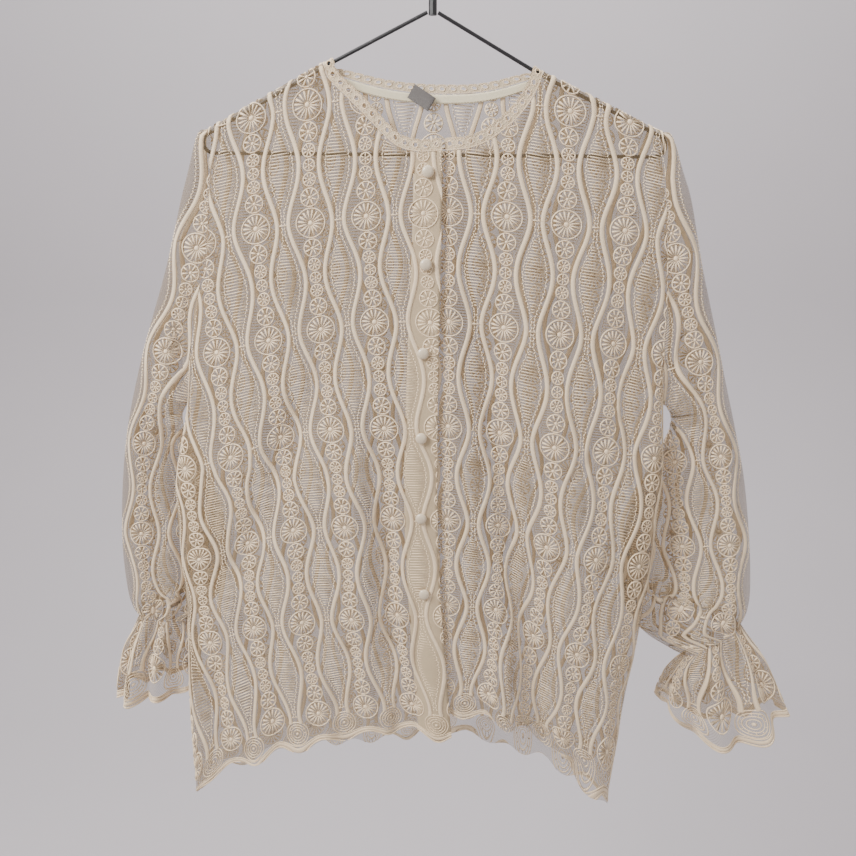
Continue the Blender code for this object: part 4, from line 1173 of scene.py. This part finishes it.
def cloth_finish(name, base, pitch=0.0009, roughness=0.8, depth=0.00015):
    """Plain woven cloth, from the piece's own cut."""
    shader = Shader(name)
    vector, u, v, _ = shader.place()
    warp = (u * (2 * math.pi / pitch)).sin()
    weft = (v * (2 * math.pi / pitch)).sin()
    cloud = shader.noise(vector, 90.0)
    colour = shader.mix(cloud, tuple(base), tuple(c * 0.86 for c in base))
    bump = shader.bump(warp * weft * 0.5 + cloud * 0.7, depth, 0.7)
    return shader.finish(Base_Color=colour, Roughness=roughness, Normal=bump, Sheen_Weight=0.2)


def pearl_finish(look):
    """A pearly button."""
    shader = Shader("pearl")
    vector = shader.place("ShaderNodeTexCoord")[0]
    cloud = shader.noise(vector, 260.0)
    colour = shader.mix(cloud, tuple(look.button_colour), tuple(c * 0.9 for c in look.button_colour))
    return shader.finish(Base_Color=colour, Roughness=0.36, Coat_Weight=0.35, Coat_Roughness=0.15)


def wire_finish(look):
    """Satin black coated wire with faint drawn marks and a little rubbed wear."""
    shader = Shader("coated wire")
    vector = shader.place("ShaderNodeTexCoord")[0]
    cloud = shader.noise(vector, 160.0, 4.0)
    worn = cloud.step(0.62, 0.75)
    colour = shader.mix(worn, tuple(look.wire_colour), (0.05, 0.048, 0.047))
    bump = shader.bump(cloud, 0.00008, 0.6)
    return shader.finish(Base_Color=colour, Roughness=0.34 + cloud * 0.2, Normal=bump)


FINISHES = {}


def finish(name):
    """The material of a name, made once."""
    look = bpy.context.scene.blouse_colours
    makers = {
        "net": net_finish,
        "satin": lambda look: satin_finish("satin stitches", look.thread_colour),
        "cord": lambda look: satin_finish("satin cord", look.cord_colour),
        "band": lambda look: cloth_finish("doubled band", look.band_colour),
        "trim": lambda look: cloth_finish("eyelet trim", look.trim_colour, 0.0012),
        "tape": lambda look: cloth_finish("twill tape", look.tape_colour, 0.0008),
        "label": lambda look: cloth_finish("label ribbon", look.label_colour, 0.0006, 0.45),
        "seam": lambda look: cloth_finish("seam thread", look.seam_colour, 0.0005),
        "pearl": pearl_finish,
        "wire": wire_finish,
    }
    if name not in FINISHES:
        FINISHES[name] = makers[name](look)
    return FINISHES[name]


def cut_size(laid):
    """Width, length and area of a piece's flat cut, in metres and square metres."""
    low, high = laid.flat.reshape(-1, 2).min(0), laid.flat.reshape(-1, 2).max(0)
    first, second = laid.flat[:, 1] - laid.flat[:, 0], laid.flat[:, 2] - laid.flat[:, 0]
    area = np.abs(first[:, 0] * second[:, 1] - first[:, 1] * second[:, 0]).sum() / 2
    width, length = (high - low).tolist()
    return {"flat": (width, length), "area": min(float(area), width * length)}


def make_panel(name, panel, outward, rests_on):
    """A body panel's net and the embroidery on it."""
    points, flat = panel.grid()
    mesh = sheet_mesh(name + "_net", points, flat, np.array(outward, float))
    net = add_piece(name + "_net", mesh, finish("net"), "lace")
    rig.replaces(net, name)
    laid = Laid(mesh)
    stitches = embroider(name + "_embroidery", laid, panel.rosette_u - REPEAT_WIDTH / 2, WHEEL_RISE)
    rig.sheet(net, held="hung", rests_on=rests_on, with_pieces=[stitches], **cut_size(laid))


def make_tube(name, points, flat, wheel_u, rise, with_hem, held, rests_on):
    """A sleeve's or frill's net and the embroidery on it."""
    mesh = sheet_mesh(name + "_net", points, flat, points.mean(axis=1))
    weld(mesh)
    net = add_piece(name + "_net", mesh, finish("net"), "lace")
    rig.replaces(net, name)
    laid = Laid(mesh)
    stitches = embroider(name + "_embroidery", laid, wheel_u, rise, with_hem)
    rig.sheet(net, held=held, rests_on=rests_on, with_pieces=[stitches], **cut_size(laid))


def number(name, description, default, **settings):
    """A size or strength that a user can change."""
    return FloatProperty(name=name, description=description, default=default, **settings)


def tint(name, description, default):
    """A colour that a user can change."""
    return FloatVectorProperty(name=name, description=description, default=default, subtype="COLOR")


class BlouseEmbroidery(bpy.types.PropertyGroup):
    """Sizes of the embroidery's repeat, in millimetres."""

    repeat_width: number("Repeat width", "From one wheel column to the next, in mm", REPEAT_WIDTH)
    repeat_height: number("Repeat height", "From one big wheel to the next, in mm", REPEAT_HEIGHT)
    wheel_radius: number("Wheel radius", "Radius of the big wheels, in mm", 13.5)
    cord_width: number("Cord width", "Width of the satin cords, in mm", 4.3)
    pinch_offset: number("Pinch", "From the spindle's middle to a cord beside a big wheel, in mm", 5.2)
    swell_offset: number("Swell", "From the spindle's middle to a cord at its widest, in mm", 16.0)


class BlouseColours(bpy.types.PropertyGroup):
    """Colours and the net's thinness."""

    # Net colour: partly the thread's own tone, partly painted shade for a shadowed wall right behind the blouse.
    net_and_shade_colour: tint("Net", "The net's thread", (0.235, 0.16, 0.078))
    net_cover: number("Net cover", "Share of the view that the net hides", 0.39)
    mesh_pitch: number("Mesh", "Width of the net's holes", 0.0014, unit="LENGTH", precision=4)
    thread_colour: tint("Embroidery", "The satin thread", (0.98, 0.765, 0.515))
    cord_colour: tint("Cords", "Satin cords", (0.84, 0.65, 0.43))
    band_colour: tint("Band", "Doubled front band", (0.52, 0.395, 0.245))
    trim_colour: tint("Trim", "Eyelet trim", (0.66, 0.53, 0.36))
    tape_colour: tint("Tape", "Tape in the neck", (0.84, 0.74, 0.52))
    label_colour: tint("Label", "Plain ribbon", (0.135, 0.12, 0.11))
    seam_colour: tint("Seam", "Thread in the tape", (0.36, 0.24, 0.13))
    button_colour: tint("Buttons", "Pearly buttons", (0.66, 0.54, 0.39))
    wire_colour: tint("Wire", "Hanger's coating", (0.012, 0.011, 0.012))


class BlouseStage(bpy.types.PropertyGroup):
    """The camera, the lights and the plain room."""

    wall_colour: tint("Wall", "Floor and wall", (0.58, 0.54, 0.56))
    key_power: number("Key light", "Power of the large light above the front", 52.0, unit="POWER")
    fill_power: number("Fill light", "Power of the light beside the camera", 9.0, unit="POWER")
    sky: number("Room light", "Strength of the light from all round", 0.54)
    lens: number("Lens", "Focal length in mm", 36.59)


class BLOUSE_OT_fronts(bpy.types.Operator):
    """Makes both fronts."""

    bl_idname = "blouse.fronts"
    bl_label = "Fronts"

    def execute(self, context):
        make_panel("front_right", FRONT_RIGHT, (0, -1, 0), ["hanger_arm_right"])
        make_panel("front_left", FRONT_LEFT, (0, -1, 0), ["hanger_arm_left"])
        return {"FINISHED"}


class BLOUSE_OT_back(bpy.types.Operator):
    """Makes the back."""

    bl_idname = "blouse.back"
    bl_label = "Back"

    def execute(self, context):
        make_panel("back", BACK, (0, 1, 0), ["hanger_arm_right", "hanger_arm_left"])
        return {"FINISHED"}


class BLOUSE_OT_sleeves(bpy.types.Operator):
    """Makes both sleeves."""

    bl_idname = "blouse.sleeves"
    bl_label = "Sleeves"

    def execute(self, context):
        for side, rows, is_right in (("right", RIGHT_SLEEVE, False), ("left", LEFT_SLEEVE, True)):
            points, flat = sleeve_grid(rows, is_right)
            arm = f"hanger_arm_{side}"
            make_tube(f"sleeve_{side}", points, flat, REPEAT_WIDTH / 2, 0.0, False, "hung", [arm])
        return {"FINISHED"}


class BLOUSE_OT_frills(bpy.types.Operator):
    """Makes both cuff frills."""

    bl_idname = "blouse.frills"
    bl_label = "Cuff frills"

    def execute(self, context):
        for side, rows in (("right", RIGHT_FRILL), ("left", LEFT_FRILL)):
            points, flat = frill_grid(rows)
            make_tube(
                f"frill_{side}", points, flat, -REPEAT_WIDTH / 2, WHEEL_RISE, True, "gathered",
                [f"sleeve_{side}_net"],
            )
        return {"FINISHED"}


class BLOUSE_OT_band(bpy.types.Operator):
    """Makes the doubled band down the right front's edge."""

    bl_idname = "blouse.band"
    bl_label = "Button band"

    def execute(self, context):
        points, flat = FRONT_RIGHT.grid(0, 2, BAND_LIFT)
        mesh = sheet_mesh("button_band_cloth", points, flat, np.array((0.0, -1, 0)))
        band = add_piece("button_band_cloth", mesh, finish("band"), "band")
        wall = band.modifiers.new("wall", "SOLIDIFY")
        wall.thickness, wall.offset = 1.0 * MM, -1
        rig.replaces(band, "button_band")
        laid = Laid(mesh)
        wheel_u = FRONT_RIGHT.rosette_u - REPEAT_WIDTH / 2
        stitches = embroider("button_band_embroidery", laid, wheel_u, WHEEL_RISE)
        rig.slot(stitches, "band")
        cut = cut_size(laid)
        widest_row = float(np.ptp(flat[..., 0], axis=1).max())
        cut["flat"] = (widest_row, cut["flat"][1])
        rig.sheet(band, held="hung", rests_on=["front_right_net"], with_pieces=[stitches], **cut)
        return {"FINISHED"}


class BLOUSE_OT_neck(bpy.types.Operator):
    """Finishes the neck's trim, tape and label."""

    bl_idname = "blouse.neck"
    bl_label = "Neck trim, tape and label"

    def execute(self, context):
        self.make_trim(self.make_tape())
        self.make_label()
        return {"FINISHED"}

    def make_trim(self, sewn_on):
        """Eyelet lace standing up round the neck: holes in stitched rings, under a scalloped edge."""
        first = len(SHOULDER_COLUMNS) + 1
        right = FRONT_RIGHT.top_line(0, len(FRONT_RIGHT_COLUMNS) - 1)
        back = BACK.top_line(first, first + len(BACK_COLUMNS_X) - 3)
        left = FRONT_LEFT.top_line(2.2, len(FRONT_LEFT_COLUMNS) - 1)[::-1]
        x, y, drop = np.concatenate((right, back, left)).T
        y = np.where(np.abs(y) < 0.2, 0.0, y)
        rise, share = drop + SHOULDER_LIFT - APEX[1], np.linspace(0, 1, 9)[:, None]
        width = np.interp(y, (-6, 6), (FRONT_TRIM_WIDTH, BACK_TRIM_WIDTH))
        distance = (SEAM_GAP + 0.1 + width * share) / np.hypot(x - APEX[0], rise)
        wave = 0.35 * np.sin(x / 4.0 + 2.0 * share) * share
        points = world(x - (x - APEX[0]) * distance, y + wave - 0.6 * np.sign(y), drop - rise * distance)
        run = np.concatenate(([0], np.cumsum(np.linalg.norm(np.diff(points[4], axis=0), axis=1))))
        flat = np.stack(np.broadcast_arrays(run, share * FRONT_TRIM_WIDTH * MM), axis=-1)
        ground = sheet_mesh("neck_trim_ground", points, flat, np.array((0.0, -1, 0)))
        laid = Laid(ground)
        count = round(run[-1] / MM / EYELET_PITCH)
        pitch = run[-1] / MM / count
        plate = bmesh.new()
        loops = []
        for is_outline in (True, False):
            made = bmesh.ops.create_circle(plate, segments=EYELET_SIDES, radius=1.0)["verts"]
            for i, vert in enumerate(made):
                angle = math.tau * i / EYELET_SIDES + math.tau / (2 * EYELET_SIDES)
                c, s = math.cos(angle), math.sin(angle)
                reach = 1 / max(abs(c), abs(s))
                scallop = TRIM_SCALLOP * (1 - abs(c * reach)) if s > 0.7 else 0
                outline = (pitch / 2 * c * reach, TRIM_HALF * s * reach + scallop)
                hole = (EYELET_RADIUS * c, EYELET_RADIUS * s + EYELET_HEIGHT - TRIM_MIDDLE)
                u, v = outline if is_outline else hole
                vert.co = (u + pitch / 2, v + TRIM_MIDDLE, 0)
            loops += [e for e in plate.edges if all(v in made for v in e.verts)]
        bmesh.ops.bridge_loops(plate, edges=loops)
        bmesh.ops.recalc_face_normals(plate, faces=plate.faces)
        bmesh.ops.subdivide_edges(plate, edges=plate.edges, cuts=1, use_grid_fill=True)
        cloth = lay_on("neck_trim_cloth", [row_of(plate, pitch, count)], laid, "trim", "trim")
        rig.replaces(cloth, "neck_trim")
        stitched = bmesh.new()
        middle = pitch / 2
        ring(stitched, middle, EYELET_HEIGHT, 2.4, 1.3, 14, 0.7)
        for i in range(8):
            c, s = math.cos(math.tau * (i + 0.5) / 8), math.sin(math.tau * (i + 0.5) / 8)
            start, end = ((middle + r * c, EYELET_HEIGHT + r * s) for r in (2.9, 4.1))
            bar(stitched, start, end, 1.3, 1.0, 0.5)
        for place, v, radius in TRIM_RINGS:
            ring(stitched, middle * place, v, radius, 0.6, 8, 0.5)
        path = [(pitch * i / 6, 0.5) for i in range(7)]
        cord(stitched, path, 0.5, 0.5)
        stitches = lay_on("neck_trim_stitches", [row_of(stitched, pitch, count)], laid, "satin", "trim")
        bpy.data.meshes.remove(ground)
        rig.sheet(
            cloth, held="hung", rests_on=["front_right_net", "back_net"], with_pieces=[stitches, *sewn_on],
            **cut_size(Laid(cloth.data)),
        )

    def make_tape(self):
        """The tape over the trim's seam inside the back neck, with a row of stitches near its lower edge."""
        keep = (BACK.top_x > -76) & (BACK.top_x < 82)
        x, top = BACK.top_x[keep], BACK.top_drop[keep]
        share = np.linspace(0, 1, 6)[:, None]
        drop = top + 0.6 + TAPE_WIDTH * share
        depth = section_depth(x, drop, 4, BACK_FOLDS, BACK.phase) - WALL - SEAM_GAP - 0.3
        points = world(x, depth, drop)
        run = np.concatenate(([0], np.cumsum(np.linalg.norm(np.diff(points[3], axis=0), axis=1))))
        flat = np.stack(np.broadcast_arrays(run, (1 - share) * TAPE_WIDTH * MM), axis=-1)
        mesh = sheet_mesh("neck_tape_cloth", points, flat, np.array((0.0, -1, 0)))
        laid = Laid(mesh)
        tape = add_piece("neck_tape_cloth", mesh, finish("tape"), "tape")
        wall = tape.modifiers.new("wall", "SOLIDIFY")
        wall.thickness, wall.offset = 0.5 * MM, -1
        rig.replaces(tape, "neck_tape")
        stitch = bmesh.new()
        bar(stitch, (0.4, 0.8), (2.2, 0.8), 0.45, 0.45, 0.35)
        row = row_of(stitch, TAPE_STITCH_PITCH, int(run[-1] / MM / TAPE_STITCH_PITCH))
        return [tape, lay_on("neck_tape_stitches", [row], laid, "seam", "tape")]

    def make_label(self):
        """A small plain ribbon folded over at its far end."""
        length, width, turn = 20.0, 12.5, 1.1
        path = [(-length / 2 + length * i / 12, 0.0) for i in range(13)]
        bend = np.linspace(0.5, 2.64, 5)
        path += [(length / 2 + turn * math.sin(a), -turn + turn * math.cos(a)) for a in bend]
        path += [(length / 2 - length * i / 12, -2 * turn) for i in range(13)]
        along, out = np.array(path).T
        across = np.linspace(-width / 2, width / 2, 7)[:, None]
        angle = math.radians(LABEL_TURN)
        x, drop = LABEL_PLACE
        depth = float(section_depth(x, drop, 4, BACK_FOLDS, BACK.phase)) - 4.0
        curl = 0.5 * np.cos(across / width * math.pi)
        at_x = x + along * math.cos(angle) + across * math.sin(angle)
        at_drop = drop + along * math.sin(angle) - across * math.cos(angle)
        points = world(at_x, depth + out + curl, at_drop)
        run = np.concatenate(([0], np.cumsum(np.linalg.norm(np.diff(points[3], axis=0), axis=1))))
        flat = np.stack(np.broadcast_arrays(run, (across + width / 2) * MM), axis=-1)
        mesh = sheet_mesh("neck_label_ribbon", points, flat, np.array((0.0, 1, 0)))
        laid = Laid(mesh)
        ribbon = add_piece("neck_label_ribbon", mesh, finish("label"), "label")
        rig.replaces(ribbon, "neck_label")
        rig.sheet(ribbon, held="folded", rests_on=["neck_tape_cloth"], **cut_size(laid))


class BLOUSE_OT_buttons(bpy.types.Operator):
    """Makes the six buttons."""

    bl_idname = "blouse.buttons"
    bl_label = "Buttons"

    def execute(self, context):
        for index in range(6):
            low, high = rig.box(f"button_{index + 1}")
            bm = bmesh.new()
            points = [bm.verts.new((r * MM, 0, z * MM)) for r, z in BUTTON_PROFILE]
            edges = [bm.edges.new(pair) for pair in zip(points, points[1:])]
            bmesh.ops.spin(
                bm, geom=points + edges, axis=(0, 0, 1), cent=(0, 0, 0), angle=math.tau, steps=28,
                use_merge=True,
            )
            bmesh.ops.remove_doubles(bm, verts=bm.verts, dist=1e-6)
            bmesh.ops.recalc_face_normals(bm, faces=bm.faces)
            middle = (low + high) / 2
            place = Matrix.Translation((middle.x, high.y, middle.z)) @ Matrix.Rotation(math.pi / 2, 4, "X")
            bmesh.ops.transform(bm, matrix=place, verts=bm.verts)
            mesh = bpy.data.meshes.new(f"button_{index + 1}_pearl")
            bm.to_mesh(mesh)
            bm.free()
            made = add_piece(f"button_{index + 1}_pearl", mesh, finish("pearl"), "button")
            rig.replaces(made, f"button_{index + 1}")
        return {"FINISHED"}


class BLOUSE_OT_hanger(bpy.types.Operator):
    """Finishes the hanger's wire."""

    bl_idname = "blouse.hanger"
    bl_label = "Hanger"

    def execute(self, context):
        for name in ("hanger_hook", "hanger_arm_right", "hanger_arm_left", "hanger_bar"):
            frame["nodes"][name].material_slots[0].material = finish("wire")
        return {"FINISHED"}


class BLOUSE_OT_stage(bpy.types.Operator):
    """Makes the floor and wall, the lights and the camera."""

    bl_idname = "blouse.stage"
    bl_label = "Stage, lights and camera"

    def execute(self, context):
        look = context.scene.blouse_stage
        bm = bmesh.new()
        profile = [(-6.0, -1.9), (1.6, -1.9)]
        bend = np.linspace(0.15, math.pi / 2, 12)
        profile += [(1.6 + 1.2 * math.sin(a), -0.7 - 1.2 * math.cos(a)) for a in bend]
        profile += [(2.8, 4.0)]
        points = [bm.verts.new((-7.0, y, z)) for y, z in profile]
        edges = [bm.edges.new(pair) for pair in zip(points, points[1:])]
        made = bmesh.ops.extrude_edge_only(bm, edges=edges)
        moved = [v for v in made["geom"] if isinstance(v, bmesh.types.BMVert)]
        bmesh.ops.translate(bm, verts=moved, vec=(14.0, 0, 0))
        bmesh.ops.recalc_face_normals(bm, faces=bm.faces)
        mesh = bpy.data.meshes.new("room")
        bm.to_mesh(mesh)
        bm.free()
        shader = Shader("painted wall")
        vector = shader.place("ShaderNodeTexCoord")[0]
        cloud = shader.noise(vector, 3.0)
        colour = shader.mix(cloud, tuple(look.wall_colour), tuple(c * 0.96 for c in look.wall_colour))
        mesh.materials.append(shader.finish(Base_Color=colour, Roughness=0.9))
        mesh.shade_smooth()
        room = bpy.data.objects.new("room", mesh)
        context.scene.collection.objects.link(room)
        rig.stage(room)
        for name, power, size, place in (
            ("key", look.key_power, 0.7, (-1.15, -0.85, 0.6)),
            ("fill", look.fill_power, 1.4, (1.1, -1.9, -0.3)),
            ("wall light", look.key_power * 2.75, 3.0, (0.0, 0.9, 2.4)),
        ):
            data = bpy.data.lights.new(name, "AREA")
            data.energy, data.size = power, size
            light = bpy.data.objects.new(name, data)
            light.location = place
            target = Vector((0, 2.6, -0.4)) if name == "wall light" else Vector((0, 0, -0.45))
            light.rotation_euler = (target - light.location).to_track_quat("-Z", "Y").to_euler()
            context.scene.collection.objects.link(light)
        sky = bpy.data.worlds.new("room light")
        sky.use_nodes = True
        sky.node_tree.nodes["Background"].inputs["Color"].default_value = (1.0, 0.98, 0.99, 1)
        sky.node_tree.nodes["Background"].inputs["Strength"].default_value = look.sky
        context.scene.world = sky
        data = bpy.data.cameras.new("camera")
        data.lens, data.sensor_width = look.lens, 36
        camera = bpy.data.objects.new("camera", data)
        camera.location = (-0.005, -0.797, -0.205)
        camera.rotation_euler = (math.radians(73.5), 0, 0)
        context.scene.collection.objects.link(camera)
        context.scene.camera = camera
        return {"FINISHED"}


class BLOUSE_PT_panel(bpy.types.Panel):
    """Lists the steps that make the blouse."""

    bl_idname = "BLOUSE_PT_panel"
    bl_label = "Blouse"
    bl_space_type = "VIEW_3D"
    bl_region_type = "UI"
    bl_category = "Blouse"

    def draw(self, context):
        for name in GROUPS:
            group = getattr(context.scene, name)
            for key in group.__annotations__:
                self.layout.prop(group, key)
        for step in STEPS:
            self.layout.operator(step.bl_idname)


STEPS = (
    BLOUSE_OT_stage, BLOUSE_OT_hanger, BLOUSE_OT_back, BLOUSE_OT_fronts, BLOUSE_OT_sleeves, BLOUSE_OT_frills,
    BLOUSE_OT_band, BLOUSE_OT_neck, BLOUSE_OT_buttons,
)
GROUPS = {
    "blouse_embroidery": BlouseEmbroidery, "blouse_colours": BlouseColours, "blouse_stage": BlouseStage,
}


def register():
    """Adds the properties, the steps and the panel to Blender."""
    for kind in (*GROUPS.values(), *STEPS, BLOUSE_PT_panel):
        bpy.utils.register_class(kind)
    for name, kind in GROUPS.items():
        setattr(bpy.types.Scene, name, PointerProperty(type=kind))


def unregister():
    """Takes the panel, the steps and the properties away again."""
    for name in GROUPS:
        delattr(bpy.types.Scene, name)
    for kind in (BLOUSE_PT_panel, *reversed(STEPS), *reversed(GROUPS.values())):
        bpy.utils.unregister_class(kind)


def main():
    """Runs every step, and writes the CAD's and the dressed part's sizes."""
    register()
    for step in STEPS:
        group, name = step.bl_idname.split(".")
        getattr(getattr(bpy.ops, group), name)()
    sizes = {"cad": CAD_BOX, "visual": [list(corner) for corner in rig.bounds()]}
    with open("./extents.json", "w") as file:
        json.dump(sizes, file)


if __name__ == "__main__":
    main()
